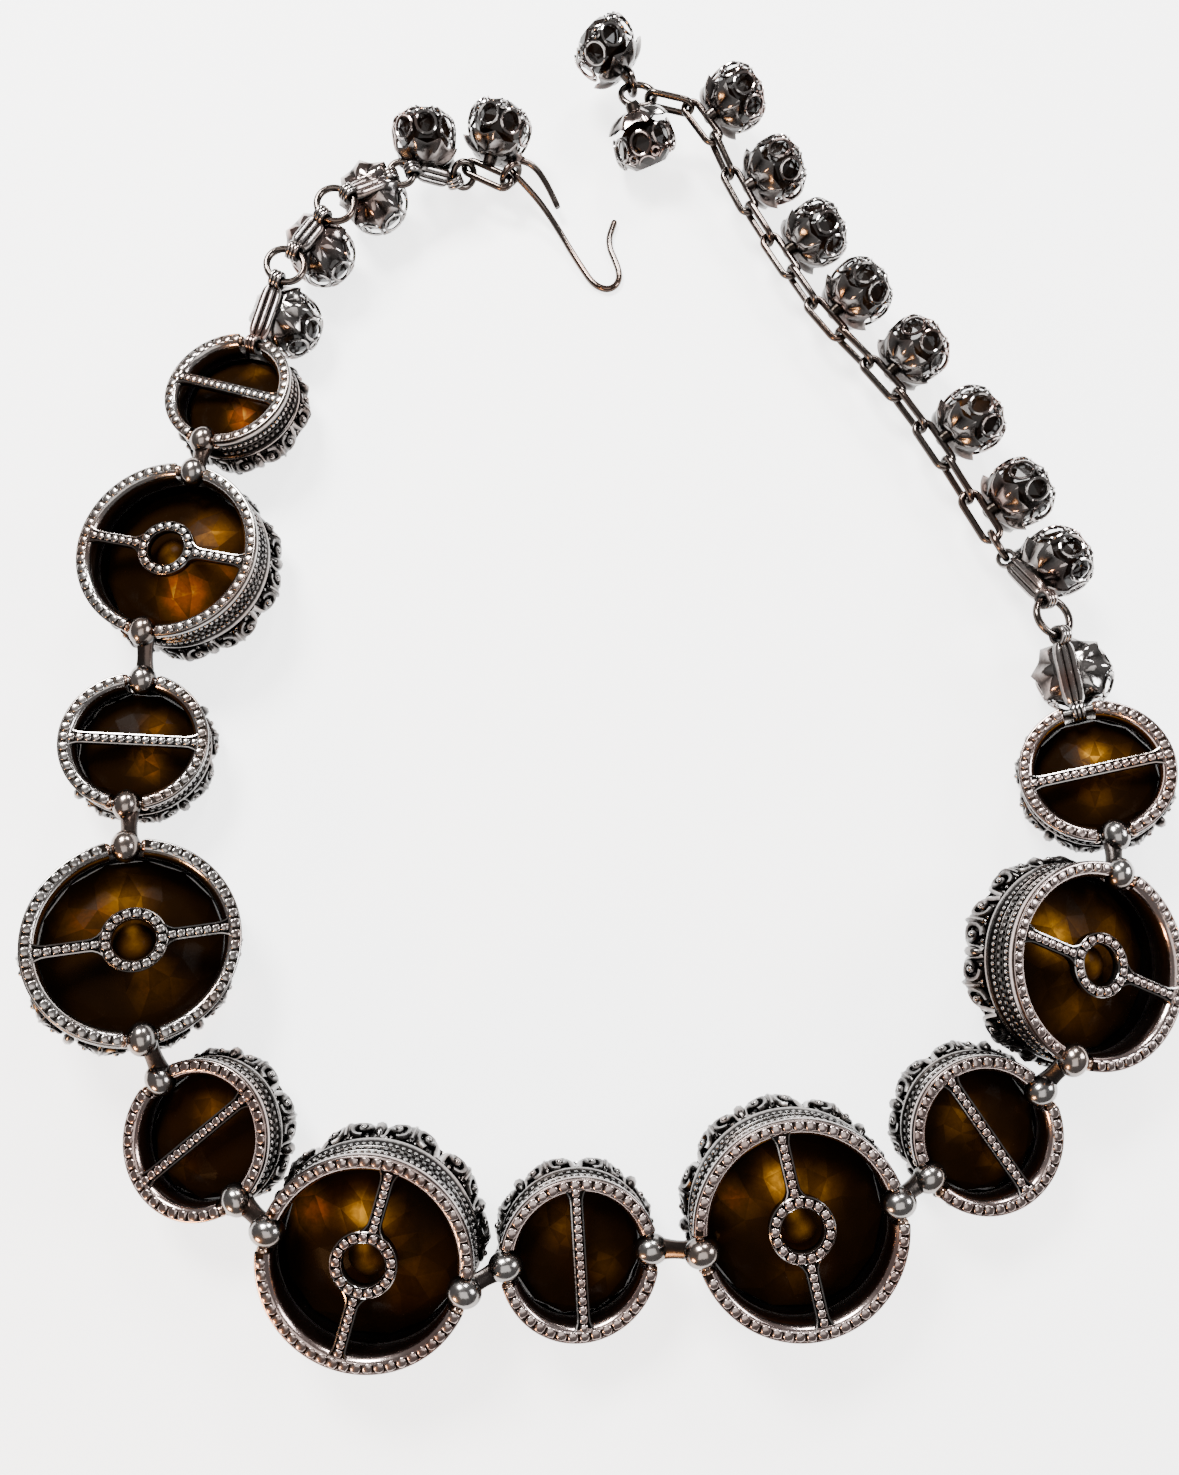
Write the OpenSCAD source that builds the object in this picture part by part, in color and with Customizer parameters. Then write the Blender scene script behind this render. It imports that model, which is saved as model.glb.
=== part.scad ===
// Rhinestone choker, lying open and face down with the backs of its settings up.
// Eleven caged stones, large and small by turns, are joined by hinge clips. A short chain of
// ribbed straps ends in a wire hook, and a longer cable chain lets the wearer choose the size.

/* [Cages] */
// Radius of a large cage at its back rim
large_r = 10.3; // [10:0.1:10.6]
// Depth of a large cage from back rim to front
large_depth = 9.6; // [9:0.1:10.2]
// Radius of a small cage at its back rim
small_r = 7.7; // [7.4:0.1:8]
// Depth of a small cage from back rim to front
small_depth = 7.4; // [7:0.1:8]
// Width of the beaded rim
rim_w = 1.3; // [1.2:0.1:1.5]
// Height of the beaded rim band
rim_h = 0.9; // [0.7:0.1:1.1]
// Widest radius of the lobed crown, as a share of the rim radius
crown_flare = 1.04; // [1.03:0.005:1.06]
// Lobes round the crown of a large cage
large_lobes = 10; // [8:2:12]
// Lobes round the crown of a small cage
small_lobes = 8; // [6:2:10]
// Width of the bar across the back
bar_w = 1.2; // [1:0.1:1.4]

/* [Hinge clips] */
// Radius of the polished ball at each end of a clip
ball_r = 1.45; // [1.3:0.05:1.5]
// Radius of the round pin that a clip turns on
pin_r = 0.42; // [0.35:0.01:0.45]
// Width of the notch in the rim
notch_w = 3.6; // [3.5:0.1:3.8]
// Width of the flat strap between the balls
clip_w = 2; // [1.8:0.1:2.1]

/* [Rhinestone cups] */
// Radius over the points of the fluted skirt
skirt_r = 4.2; // [4:0.05:4.3]
// Radius of the pierced coronet
coronet_r = 3.9; // [3.8:0.05:4]
// Height from the base to the stone's table
cup_h = 7.2; // [7:0.1:7.4]
// Number of flutes round the skirt
flutes = 8; // [6:1:10]

/* [Chains] */
// Radius of the wire of rings, links and hook
wire_r = 0.42; // [0.38:0.01:0.45]
// Inner length of a cable link that carries a cup
cup_link_len = 5.7; // [5.5:0.1:5.8]
// Inner length of a plain cable link
plain_link_len = 5.1; // [4.9:0.1:5.2]
// Outer width of a cable link
link_w = 2.9; // [2.8:0.05:3.1]
// Width of a ribbed strap
strap_w = 2.4; // [2.2:0.1:2.6]
// Gap kept between two links that hang in each other
link_gap = 0.12; // [0.1:0.01:0.15]

/* [Hidden] */

smooth = 40;

// Each cage where it lies: 1 for a large one, place of its middle, heading of the chain
// through it, and how far it leans sideways and along the chain.
// [large, x, y, heading, lean_side, lean_along]
STATIONS = [
    [0, -45.2, 24.9, -110, 9, -2],
    [1, -49.5, 3.5, -102, 4, 2],
    [0, -51.5, -18.0, -90, -10, -2],
    [1, -47.7, -39.5, -79, -22, 0],
    [0, -41.2, -58.6, -52, 12, -2],
    [1, -23.5, -69.3, -16, 16, 2],
    [0, -3.4, -69.4, 5, 12, 6],
    [1, 17.5, -66.4, 13, 12, 0],
    [0, 36.6, -58.2, 35, 11, -2],
    [1, 48.2, -42.0, 70, 18, -1],
    [0, 51.2, -21.5, 98, -20, 4]];

// Jump rings: place, radius of the wire's centre line, heading of the chain through the
// ring, and tilt of the ring about that heading.
// [x, y, z, ring_r, heading, tilt]
RINGS = [
    [-39.2, 41.0, 8.9, 2.2, 66, 10],
    [-33.6, 49.4, 9.3, 2.2, 48, 10],
    [-26.1, 55.7, 7.4, 1.5, 20, 12],
    [-18.7, 58.3, 4.3, 1.5, 40, 60],
    [-12.65, 58.36, 4.2, 1.45, 44, 90],
    [48.7, -4.1, 8.5, 2.2, 105, 20],
    [45.2, 6.4, 4.3, 1.8, 115, 60]];

// Heading, climb and roll of each cable link, from the ring at the strap's end to the far
// end. Links with a cup lie flat, and those between stand on edge.
// [heading, climb, roll]
LINKS = [
    [116, 0, -15], [116, 0, 90], [118, 0, 0], [121, 0, 90], [126, 0, 0], [129, 0, 90],
    [125, 0, 0], [119, 0, 90], [118, 0, 0], [118, 2, 90], [116, 6, 0], [114, 10, 90],
    [124, 6, 0], [164, 0, 94]];

boss_r = 0.85;
// Where the first lobe stands, as a share of the step from one lobe to the next
lobe_turn = 0.4;
pin_in = 0.8;
pin_drop = 0.8;
notch_depth = 3.1;
pin_bore_r = pin_r + 0.14;
strap_in = 1;
eye_r = 1.15;
eye_bore_r = 0.7;
eye_w = 1.3;
strap_t = 0.9;
wire_d = 2 * wire_r;
cup_base_r = 1.6;
skirt_h = 2.7;
girdle_z = 5.0;
coronet_top = cup_h - 0.35;

function is_large(i) = STATIONS[i][0] == 1;
function rim_radius(i) = is_large(i) ? large_r : small_r;
function cage_depth(i) = is_large(i) ? large_depth : small_depth;
function tilt_of(i) = [STATIONS[i][4], STATIONS[i][5], STATIONS[i][3]];

// A vector turned about x, then y, then z.
function turned(v, a) =
    let (y1 = v.y * cos(a.x) - v.z * sin(a.x))
    let (z1 = v.y * sin(a.x) + v.z * cos(a.x))
    let (x2 = v.x * cos(a.y) + z1 * sin(a.y))
    let (z2 = z1 * cos(a.y) - v.x * sin(a.y))
    [x2 * cos(a.z) - y1 * sin(a.z), x2 * sin(a.z) + y1 * cos(a.z), z2];

// Edges of the domed front, from the middle out: radius and depth.
function front_edges(r, d) = [[0.7 * r, d], [0.8 * r + 0.25, 0.97 * d],
    [r * crown_flare - 0.5, 0.86 * d], [r * crown_flare + 0.1, 0.76 * d]];

// Middle of a boss on the crown: radius and depth.
function boss_middle(r, d) = [r * crown_flare - 0.35, 0.7 * d];

// Height of a leaning cage's rim when its front, or a boss, rests on the table.
function rest_height(i) =
    let (level = cos(STATIONS[i][4]) * cos(STATIONS[i][5]))
    let (slant = sqrt(1 - level * level))
    let (boss = boss_middle(rim_radius(i), cage_depth(i)))
    max(concat([boss[1] * level + boss[0] * slant + boss_r],
        [for (edge = front_edges(rim_radius(i), cage_depth(i)))
            edge[1] * level + edge[0] * slant]));

function station_place(i) = [STATIONS[i][1], STATIONS[i][2], rest_height(i)];
function station_point(i, v) = station_place(i) + turned(v, tilt_of(i));
function pin_place(i, side) = station_point(i, [side * (rim_radius(i) - pin_in), 0, -pin_drop]);

// Where a strap's eye goes, and how it is turned: on a cage's pin or on a ring's wire.
function pin_end(i, side) = [pin_place(i, side), tilt_of(i)];
function ring_end(k, side) =
    let (ring = RINGS[k])
    [[ring[0], ring[1], ring[2]] + side * ring[3] * [cos(ring[4]), sin(ring[4]), 0],
        [ring[5], 0, ring[4]]];

// Ribbed straps: the eye at each end, roll about the length, the way the cup faces, and how
// far along from the strap's middle it sits.
// [start, end, roll, cup_azimuth, cup_elevation, cup_along]
STRAPS = [
    [pin_end(0, -1), ring_end(0, -1), 14, 26, -72, 0.9],
    [ring_end(0, 1), ring_end(1, -1), 14, 63, -76, 0],
    [ring_end(1, 1), ring_end(2, -1), 0, 76, -66, -0.8],
    [ring_end(2, 1), ring_end(3, -1), 80, 95, 14, -0.9],
    [pin_end(10, 1), ring_end(5, -1), 0, 3, -59, 0.8],
    [ring_end(5, 1), ring_end(6, -1), -70, 30, -8, 0]];

// The hook's wire from its cut end round the eye and down the shank to the tip.
// [x, y, z]
HOOK_ROUTE = [
    [-6.6, 55.3, 1.9], [-7.4, 57.0, 2.3], [-8.3, 58.6, 2.8], [-9.3, 59.9, 3.3],
    [-10.4, 60.6, 3.7], [-11.6, 60.7, 4.0], [-12.5, 60.1, 4.2], [-12.6, 59.2, 4.2],
    [-11.9, 58.2, 4.1], [-10.7, 57.2, 3.5], [-9.2, 55.9, 2.6], [-7.8, 54.3, 1.8],
    [-6.3, 52.1, 1.1], [-4.9, 49.7, 0.7], [-3.5, 47.3, 0.5], [-2.4, 45.5, 0.45],
    [-1.4, 44.5, 0.45], [-0.2, 44.1, 0.45], [0.8, 44.6, 0.45], [1.3, 45.7, 0.45],
    [1.2, 47.1, 0.45], [0.7, 48.7, 0.45], [0.2, 50.2, 0.45], [0.1, 51.8, 0.45],
    [0.4, 53.1, 0.45], [0.8, 54.4, 0.45]];

// A wire along an open route: one ring of points at each place, with a cap at each end.
module wire(route, sides) {
    last = len(route) - 1;
    points = [for (i = [0 : last])
        let (before = route[max(i - 1, 0)])
        let (after = route[min(i + 1, last)])
        let (along = (after - before) / norm(after - before))
        let (across = cross([0, 0, 1], along) / norm(cross([0, 0, 1], along)))
        let (upward = cross(along, across))
        for (j = [0 : sides - 1])
            route[i] + wire_r * (cos(360 * j / sides) * across + sin(360 * j / sides) * upward)];
    skin = [for (i = [0 : last - 1], j = [0 : sides - 1])
        let (turn = (j + 1) % sides)
        [i * sides + j, (i + 1) * sides + j, (i + 1) * sides + turn, i * sides + turn]];
    start_cap = [for (j = [0 : sides - 1]) j];
    end_cap = [for (j = [0 : sides - 1]) (last + 1) * sides - 1 - j];
    polyhedron(points, concat(skin, [start_cap, end_cap]));
}

// A cable link lying flat along x, given the length of its opening.
link_end_r = link_w / 2 - wire_r;
function end_x(inner_len) = (inner_len + wire_d) / 2 - link_end_r;

module cable_link(inner_len) {
    for (side = [0, 1])
        rotate([0, 0, 180 * side]) {
            translate([end_x(inner_len), 0, 0])
                rotate([0, 0, -90])
                    rotate_extrude(angle = 180, $fn = smooth)
                        translate([link_end_r, 0])
                            circle(r = wire_r, $fn = 16);
            translate([-end_x(inner_len), link_end_r, 0])
                rotate([0, 90, 0])
                    cylinder(r = wire_r, h = 2 * end_x(inner_len), $fn = 16);
        }
}

// A solid through level rings of corners, each ring half a step on from the last.
// Each row of levels is [radius, height].
module cut_stone(levels, sides) {
    count = len(levels);
    points = [for (i = [0 : count - 1], j = [0 : sides - 1])
        let (a = 360 * (j + i / 2) / sides)
        [levels[i][0] * cos(a), levels[i][0] * sin(a), levels[i][1]]];
    strips = [for (i = [0 : count - 2], j = [0 : sides - 1])
        let (low = i * sides)
        let (high = low + sides)
        let (next = (j + 1) % sides)
        for (face = [[low + j, high + j, low + next], [low + next, high + j, high + next]]) face];
    polyhedron(points, concat(strips, [[for (j = [0 : sides - 1]) j]],
        [[for (j = [0 : sides - 1]) count * sides - 1 - j]]));
}

// The cage's wall: beaded rim band, engraved wall, raised line, and the seat for the stone.
module cage_wall(r, d) {
    front_r = 0.8 * r;
    rotate_extrude($fn = 72)
        polygon([[r - rim_w, 0], [r, 0], [r, -rim_h], [r - 0.4, -rim_h], [r - 0.4, -0.42 * d],
            [r - 0.1, -0.45 * d], [r - 0.1, -0.49 * d], [r - 0.6, -0.53 * d],
            [r - 1.2, -0.9 * d], [front_r, -0.92 * d], [front_r, -0.8 * d],
            [r - rim_w, -0.62 * d]]);
}

// The lobed crown that curls in over the front, with a raised boss on each lobe.
module cage_crown(r, d, lobes) {
    crown_r = r * crown_flare;
    lobe_r = crown_r * 2.95 / lobes;
    inside_r = 0.8 * r + 0.25;
    intersection() {
        for (i = [0 : lobes - 1])
            rotate([0, 0, 360 * (i + lobe_turn) / lobes])
                translate([crown_r - lobe_r, 0, -d - 1])
                    cylinder(r = lobe_r, h = d, $fn = smooth);
        rotate_extrude($fn = 72)
            polygon(concat([[inside_r, -0.8 * d], [inside_r, -0.9 * d], [0.7 * r, -0.96 * d]],
                [for (edge = front_edges(r, d)) [edge[0], -edge[1]]],
                [[crown_r + 0.1, -0.62 * d], [crown_r - 0.6, -0.5 * d], [r - 1.15, -0.5 * d],
                [r - 1.15, -0.66 * d]]));
    }
    for (i = [0 : lobes - 1])
        rotate([0, 0, 360 * (i + lobe_turn) / lobes])
            translate([boss_middle(r, d)[0], 0, -boss_middle(r, d)[1]])
                sphere(r = boss_r, $fn = smooth);
}

// Flat beads along the rim, left out where the notches are.
module rim_beads(r) {
    bead_ring_r = r - rim_w / 2;
    beads = floor(360 * bead_ring_r / 57.3 / 1.15);
    for (i = [0 : beads - 1]) {
        a = 360 * i / beads;
        if (abs(sin(a)) * r > notch_w / 2 + 0.45)
            rotate([0, 0, a])
                translate([bead_ring_r, 0, -0.1])
                    cylinder(r = 0.42, h = 0.24, $fn = 8);
    }
}

// The soldered bar across the back, with a ring at its middle on a large cage.
module back_bar(r, ringed) {
    reach = r - rim_w + 0.3;
    ring_r = ringed ? 3.2 : 0;
    difference() {
        union() {
            translate([-bar_w / 2, -reach, -0.9])
                cube([bar_w, 2 * reach, 0.85]);
            if (ringed)
                translate([0, 0, -0.9])
                    cylinder(r = ring_r, h = 0.87, $fn = smooth);
            for (side = [-1, 1])
                for (y = [ring_r + 0.5 : 0.95 : reach - 0.7])
                    translate([0, side * y, -0.2])
                        cylinder(r = 0.32, h = 0.28, $fn = 8);
            if (ringed)
                for (i = [0 : 13])
                    rotate([0, 0, 360 * i / 14])
                        translate([2.6, 0, -0.2])
                            cylinder(r = 0.34, h = 0.3, $fn = 8);
        }
        if (ringed)
            translate([0, 0, -2])
                cylinder(r = 2.05, h = 4, $fn = smooth);
    }
}

module cage(i) {
    r = rim_radius(i);
    d = cage_depth(i);
    lobes = is_large(i) ? large_lobes : small_lobes;
    color("silver")
    translate(station_place(i))
    rotate(tilt_of(i)) {
        difference() {
            union() {
                cage_wall(r, d);
                cage_crown(r, d, lobes);
                rim_beads(r);
                back_bar(r, is_large(i));
            }
            for (side = [-1, 1])
                translate([side * r, 0, 0])
                    cube([3.6, notch_w, 2 * notch_depth], center = true);
            for (k = [0 : lobes / 2 - 1])
                rotate([0, 90, 360 * (2 * k + 0.5 + lobe_turn) / lobes])
                    translate([0.7 * d, 0, 0.7 * r])
                        cylinder(r = 0.6, h = r / 2, $fn = 24);
        }
        for (side = [-1, 1])
            translate([side * (r - pin_in), 0, -pin_drop])
                rotate([90, 0, 0])
                    cylinder(r = pin_r, h = notch_w + 0.6, center = true, $fn = 24);
    }
}

module stone(i) {
    r = rim_radius(i);
    d = cage_depth(i);
    girdle_r = r - rim_w - 0.15;
    color([0.25, 0.12, 0.02])
    translate(station_place(i))
    rotate(tilt_of(i))
        cut_stone([[0.5 * r, -0.97 * d], [0.7 * r, -0.86 * d], [girdle_r, -0.62 * d],
            [girdle_r, -0.58 * d], [0.52 * r, -0.36 * d], [0.12 * r, -0.2 * d]], 12);
}

// A clip's two balls, each drilled for its cage's pin, on the ends of a flat strap.
module hinge_clip(i) {
    start = pin_place(i, 1);
    end = pin_place(i + 1, -1);
    run = end - start;
    color([0.45, 0.42, 0.4]) {
        for (turn = [[start, tilt_of(i)], [end, tilt_of(i + 1)]])
            translate(turn[0])
                rotate(turn[1])
                    rotate([90, 0, 0])
                        difference() {
                            sphere(r = ball_r, $fn = smooth);
                            cylinder(r = pin_bore_r, h = 4, center = true, $fn = 24);
                        }
        translate(start)
            rotate([0, -asin(run.z / norm(run)), atan2(run.y, run.x)])
                translate([strap_in, -clip_w / 2, -1])
                    cube([norm(run) - 2 * strap_in, clip_w, 0.8]);
    }
}

// A stamped cup standing on its base: fluted skirt, pierced coronet and claws.
module cup() {
    inner_r = coronet_r - 0.3;
    difference() {
        union() {
            intersection() {
                cylinder(r1 = cup_base_r, r2 = skirt_r + 0.1, h = skirt_h, $fn = smooth);
                linear_extrude(skirt_h + 1)
                    polygon([for (i = [0 : 2 * flutes - 1])
                        let (a = 180 * i / flutes)
                        let (r = i % 2 == 0 ? skirt_r : 0.8 * skirt_r)
                        [r * cos(a), r * sin(a)]]);
            }
            rotate_extrude($fn = smooth)
                polygon([[0, 0.4], [2.4, 1.2], [coronet_r, skirt_h - 0.1],
                    [coronet_r, 5.1], [3.3, coronet_top], [0, coronet_top]]);
        }
        rotate_extrude($fn = smooth)
            polygon([[0, 1.3], [0.5, 1.3], [inner_r, girdle_z - 0.25], [inner_r, girdle_z + 0.1],
                [3, coronet_top + 0.1], [0, coronet_top + 0.1]]);
        for (a = [0, 90])
            rotate([90, 0, a + 45])
                translate([0, 3.9, 0])
                    cylinder(r = 0.75, h = 10, center = true, $fn = 24);
        for (a = [0, 90])
            rotate([0, 0, a])
                translate([-5, -0.9, 5])
                    cube([10, 1.8, 3]);
    }
}

module cup_stone() {
    cut_stone([[0.35, 1.7], [coronet_r - 0.48, girdle_z - 0.1], [coronet_r - 0.48, girdle_z + 0.2],
        [2.1, cup_h]], 10);
}

// Puts a child that stands on z at a place, facing an azimuth and an elevation.
module facing(place, azimuth, elevation) {
    translate(place)
        rotate([0, 90 - elevation, azimuth])
            children();
}

function strap_run(k) = STRAPS[k][1][0] - STRAPS[k][0][0];
function strap_seat(k) = STRAPS[k][0][0]
    + strap_run(k) * (0.5 + STRAPS[k][5] / norm(strap_run(k)));
function faced(azimuth, elevation) =
    [cos(elevation) * cos(azimuth), cos(elevation) * sin(azimuth), sin(elevation)];
function strap_cup_place(k) = strap_seat(k) + 0.7 * faced(STRAPS[k][3], STRAPS[k][4]);

// A ribbed strap with an eye at each end and a cup soldered to its front.
module strap(k) {
    run = strap_run(k);
    span = norm(run);
    color([0.5, 0.46, 0.43])
    difference() {
        union() {
            translate(STRAPS[k][0][0])
                rotate([0, -asin(run.z / span), atan2(run.y, run.x)])
                    rotate([STRAPS[k][2], 0, 0]) {
                        translate([0.8, -strap_w / 2, -strap_t / 2])
                            cube([span - 1.6, strap_w, strap_t]);
                        for (y = [-0.75, 0, 0.75])
                            translate([0.85, y, strap_t / 2 - 0.1])
                                rotate([0, 90, 0])
                                    cylinder(r = 0.33, h = span - 1.7, $fn = 16);
                    }
            for (end = [STRAPS[k][0], STRAPS[k][1]])
                translate(end[0])
                    rotate(end[1])
                        rotate([90, 0, 0])
                            cylinder(r = eye_r, h = eye_w, center = true, $fn = smooth);
            facing(strap_cup_place(k), STRAPS[k][3], STRAPS[k][4]) {
                cup();
                translate([0, 0, -0.5])
                    cylinder(r = 1.25, h = 1, $fn = 24);
            }
        }
        for (end = [STRAPS[k][0], STRAPS[k][1]])
            translate(end[0])
                rotate(end[1])
                    rotate([90, 0, 0])
                        cylinder(r = eye_bore_r, h = strap_w + 2, center = true, $fn = 24);
    }
}

module jump_ring(k) {
    ring = RINGS[k];
    color([0.45, 0.42, 0.4])
    translate([ring[0], ring[1], ring[2]])
        rotate([ring[5], 0, ring[4]])
            rotate_extrude($fn = smooth)
                translate([ring[3], 0])
                    circle(r = wire_r, $fn = 16);
}

// The plain link that hangs in the last ring, with a cup on its outer side.
hook_link_heading = -28;
hook_link_place = [-15.65, 58.3, 4.3];
hook_cup_place = hook_link_place + (link_w / 2 + 0.7) * faced(80, 12);

module hook_link() {
    color([0.45, 0.42, 0.4]) {
        translate(hook_link_place)
            rotate([0, 0, hook_link_heading])
                cable_link(cup_link_len);
        soldered_cup(hook_cup_place, 72, 16);
    }
}

module soldered_cup(place, azimuth, elevation) {
    facing(place, azimuth, elevation) {
        cup();
        translate([0, 0, -1])
            cylinder(r = 0.9, h = 1.5, $fn = 24);
    }
}

module hook() {
    color([0.45, 0.42, 0.4])
        wire(HOOK_ROUTE, 8);
}

// Walk along the cable chain. Each link turns about the middle of the round end that it
// hangs in.
function flat(n) = n % 2 == 0;
function link_inner(n) = flat(n) ? cup_link_len : plain_link_len;
function link_dir(n) = faced(LINKS[n][0], LINKS[n][1]);
function hang_dir(n) = faced(LINKS[flat(n) ? n - 1 : n][0], LINKS[flat(n) ? n : n - 1][1]);
function link_place(n) = n == 0
    ? ring_end(6, 1)[0] + (cup_link_len / 2 - wire_r - link_gap) * link_dir(0)
    : link_place(n - 1) + end_x(link_inner(n - 1)) * link_dir(n - 1)
        + (2 * link_end_r - wire_d - link_gap) * hang_dir(n)
        + end_x(link_inner(n)) * link_dir(n);
function link_cup_azimuth(n) = LINKS[n][0] - 84;
function link_cup_place(n) = link_place(n) + (link_w / 2 + 0.4) * faced(link_cup_azimuth(n), 0);

last_link = len(LINKS) - 1;

// The ring at the far end hangs from the last link, with its near side raised. A cup is
// soldered to that side, and another hangs from a small upright ring on the far side.
end_ring_r = 2.2;
end_ring_tilt = 12;
end_ring_heading = LINKS[last_link][0];
end_ring_place = link_place(last_link)
    + (plain_link_len / 2 - wire_r - link_gap + end_ring_r) * link_dir(last_link);
end_ring_side = turned([0, cos(end_ring_tilt), sin(end_ring_tilt)], [0, 0, end_ring_heading]);
tail_ring_r = 1.35;
tail_ring_heading = 110;
tail_ring_place = end_ring_place
    + (end_ring_r + tail_ring_r - wire_d - link_gap) * faced(tail_ring_heading, -9);
near_cup_place = end_ring_place + (end_ring_r + 0.4) * end_ring_side + 0.3 * faced(-62, -40);
tail_cup_place = tail_ring_place + (tail_ring_r + 0.55) * faced(tail_ring_heading, -4);

module chain_ring(place, turn, r) {
    translate(place)
        rotate(turn)
            rotate_extrude($fn = smooth)
                translate([r, 0])
                    circle(r = wire_r, $fn = 16);
}

module extension_chain() {
    color([0.45, 0.42, 0.4]) {
        for (n = [0 : last_link])
            translate(link_place(n))
                rotate([LINKS[n][2], -LINKS[n][1], LINKS[n][0]])
                    cable_link(link_inner(n));
        for (n = [0 : 2 : last_link])
            soldered_cup(link_cup_place(n), link_cup_azimuth(n), 0);
        chain_ring(end_ring_place, [end_ring_tilt, 0, end_ring_heading], end_ring_r);
        soldered_cup(near_cup_place, -62, -40);
        chain_ring(tail_ring_place, [90, 0, tail_ring_heading], tail_ring_r);
        soldered_cup(tail_cup_place, 138, 22);
    }
}

module extension_stones() {
    color([0.25, 0.12, 0.02]) {
        for (n = [0 : 2 : last_link])
            facing(link_cup_place(n), link_cup_azimuth(n), 0)
                cup_stone();
        facing(near_cup_place, -62, -40)
            cup_stone();
        facing(tail_cup_place, 138, 22)
            cup_stone();
    }
}

module strap_stones() {
    color([0.25, 0.12, 0.02]) {
        for (k = [0 : len(STRAPS) - 1])
            facing(strap_cup_place(k), STRAPS[k][3], STRAPS[k][4])
                cup_stone();
        facing(hook_cup_place, 72, 16)
            cup_stone();
    }
}

cage(0);  // cage_1
cage(1);  // cage_2
cage(2);  // cage_3
cage(3);  // cage_4
cage(4);  // cage_5
cage(5);  // cage_6
cage(6);  // cage_7
cage(7);  // cage_8
cage(8);  // cage_9
cage(9);  // cage_10
cage(10);  // cage_11
stone(0);  // stone_1
stone(1);  // stone_2
stone(2);  // stone_3
stone(3);  // stone_4
stone(4);  // stone_5
stone(5);  // stone_6
stone(6);  // stone_7
stone(7);  // stone_8
stone(8);  // stone_9
stone(9);  // stone_10
stone(10);  // stone_11
hinge_clip(0);  // hinge_clip_1
hinge_clip(1);  // hinge_clip_2
hinge_clip(2);  // hinge_clip_3
hinge_clip(3);  // hinge_clip_4
hinge_clip(4);  // hinge_clip_5
hinge_clip(5);  // hinge_clip_6
hinge_clip(6);  // hinge_clip_7
hinge_clip(7);  // hinge_clip_8
hinge_clip(8);  // hinge_clip_9
hinge_clip(9);  // hinge_clip_10
strap(0);  // strap_1
strap(1);  // strap_2
strap(2);  // strap_3
strap(3);  // strap_4
strap(4);  // strap_5
strap(5);  // strap_6
jump_ring(0);  // jump_ring_1
jump_ring(1);  // jump_ring_2
jump_ring(2);  // jump_ring_3
jump_ring(3);  // jump_ring_4
jump_ring(4);  // jump_ring_5
jump_ring(5);  // jump_ring_6
jump_ring(6);  // jump_ring_7
hook_link();
hook();
strap_stones();
extension_chain();
extension_stones();
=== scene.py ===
"""Looks for a rhinestone choker that lies open and face down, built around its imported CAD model.

Sizes are in millimetres, except for those of the camera, the table and the lights."""

from math import asin, atan2, cos, degrees, exp, floor, pi, radians, sin, sqrt, tau

import bmesh
import bpy
from mathutils import Euler, Matrix, Vector


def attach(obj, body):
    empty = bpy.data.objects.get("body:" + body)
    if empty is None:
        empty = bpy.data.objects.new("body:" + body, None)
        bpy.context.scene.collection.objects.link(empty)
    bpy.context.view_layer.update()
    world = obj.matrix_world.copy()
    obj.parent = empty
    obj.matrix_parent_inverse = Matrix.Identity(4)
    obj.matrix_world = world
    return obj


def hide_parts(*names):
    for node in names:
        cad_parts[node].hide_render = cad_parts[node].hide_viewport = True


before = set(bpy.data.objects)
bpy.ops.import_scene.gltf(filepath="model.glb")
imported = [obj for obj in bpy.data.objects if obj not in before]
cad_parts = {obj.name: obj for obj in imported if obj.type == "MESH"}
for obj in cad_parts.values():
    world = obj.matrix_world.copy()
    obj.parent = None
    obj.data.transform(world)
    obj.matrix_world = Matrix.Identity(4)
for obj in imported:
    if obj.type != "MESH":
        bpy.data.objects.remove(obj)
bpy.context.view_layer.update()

# Viewpoint. The photograph looks down on the table from about 12 cm, leaning 15 degrees
# towards the chains, so the cages near its edges show their sides.
SENSOR_W = 36
FOCAL_PIXELS = 1100
PHOTO_H_PIXELS = 1475


def add_object(name, data):
    """A new object in the scene."""
    thing = bpy.data.objects.new(name, data)
    bpy.context.scene.collection.objects.link(thing)
    return thing


camera = add_object("camera", bpy.data.cameras.new("camera"))
bpy.context.scene.camera = camera
camera.location = (-0.0025, -0.0484, 0.1224)
camera.rotation_euler = (radians(15), 0, 0)
camera.data.sensor_width = SENSOR_W
camera.data.lens = SENSOR_W * FOCAL_PIXELS / PHOTO_H_PIXELS
camera.data.clip_start = 0.01

# Cages. Each is cast in white metal and antiqued: a beaded rim with a notch at either end of
# the chain, an engraved wall, a crown of scrolls, leaves and piercings that curls in over the
# front of its stone, and a beaded bar across its back. The piercings are discs of painted shade.
RIM_W = 1.3
RIM_BEAD_PITCH = 1.09
FLARE = 1.04
NOTCH_W = 3.6
NOTCH_DEPTH = 3.1
WALL_TOP = -1.0
ROW_IN = 0.42
LOBE_TURN = 0.4
BOSS_R = 0.85
BAR_RING_R = 2.62
BAR_BEAD_PITCH = 0.84
PIN_R = 0.42
PIN_IN = 0.8
PIN_DROP = 0.8
LARGE = {"r": 10.3, "d": 9.6, "lobes": 10, "rows": 3, "ringed": True}
SMALL = {"r": 7.7, "d": 7.4, "lobes": 8, "rows": 2, "ringed": False}

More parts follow.
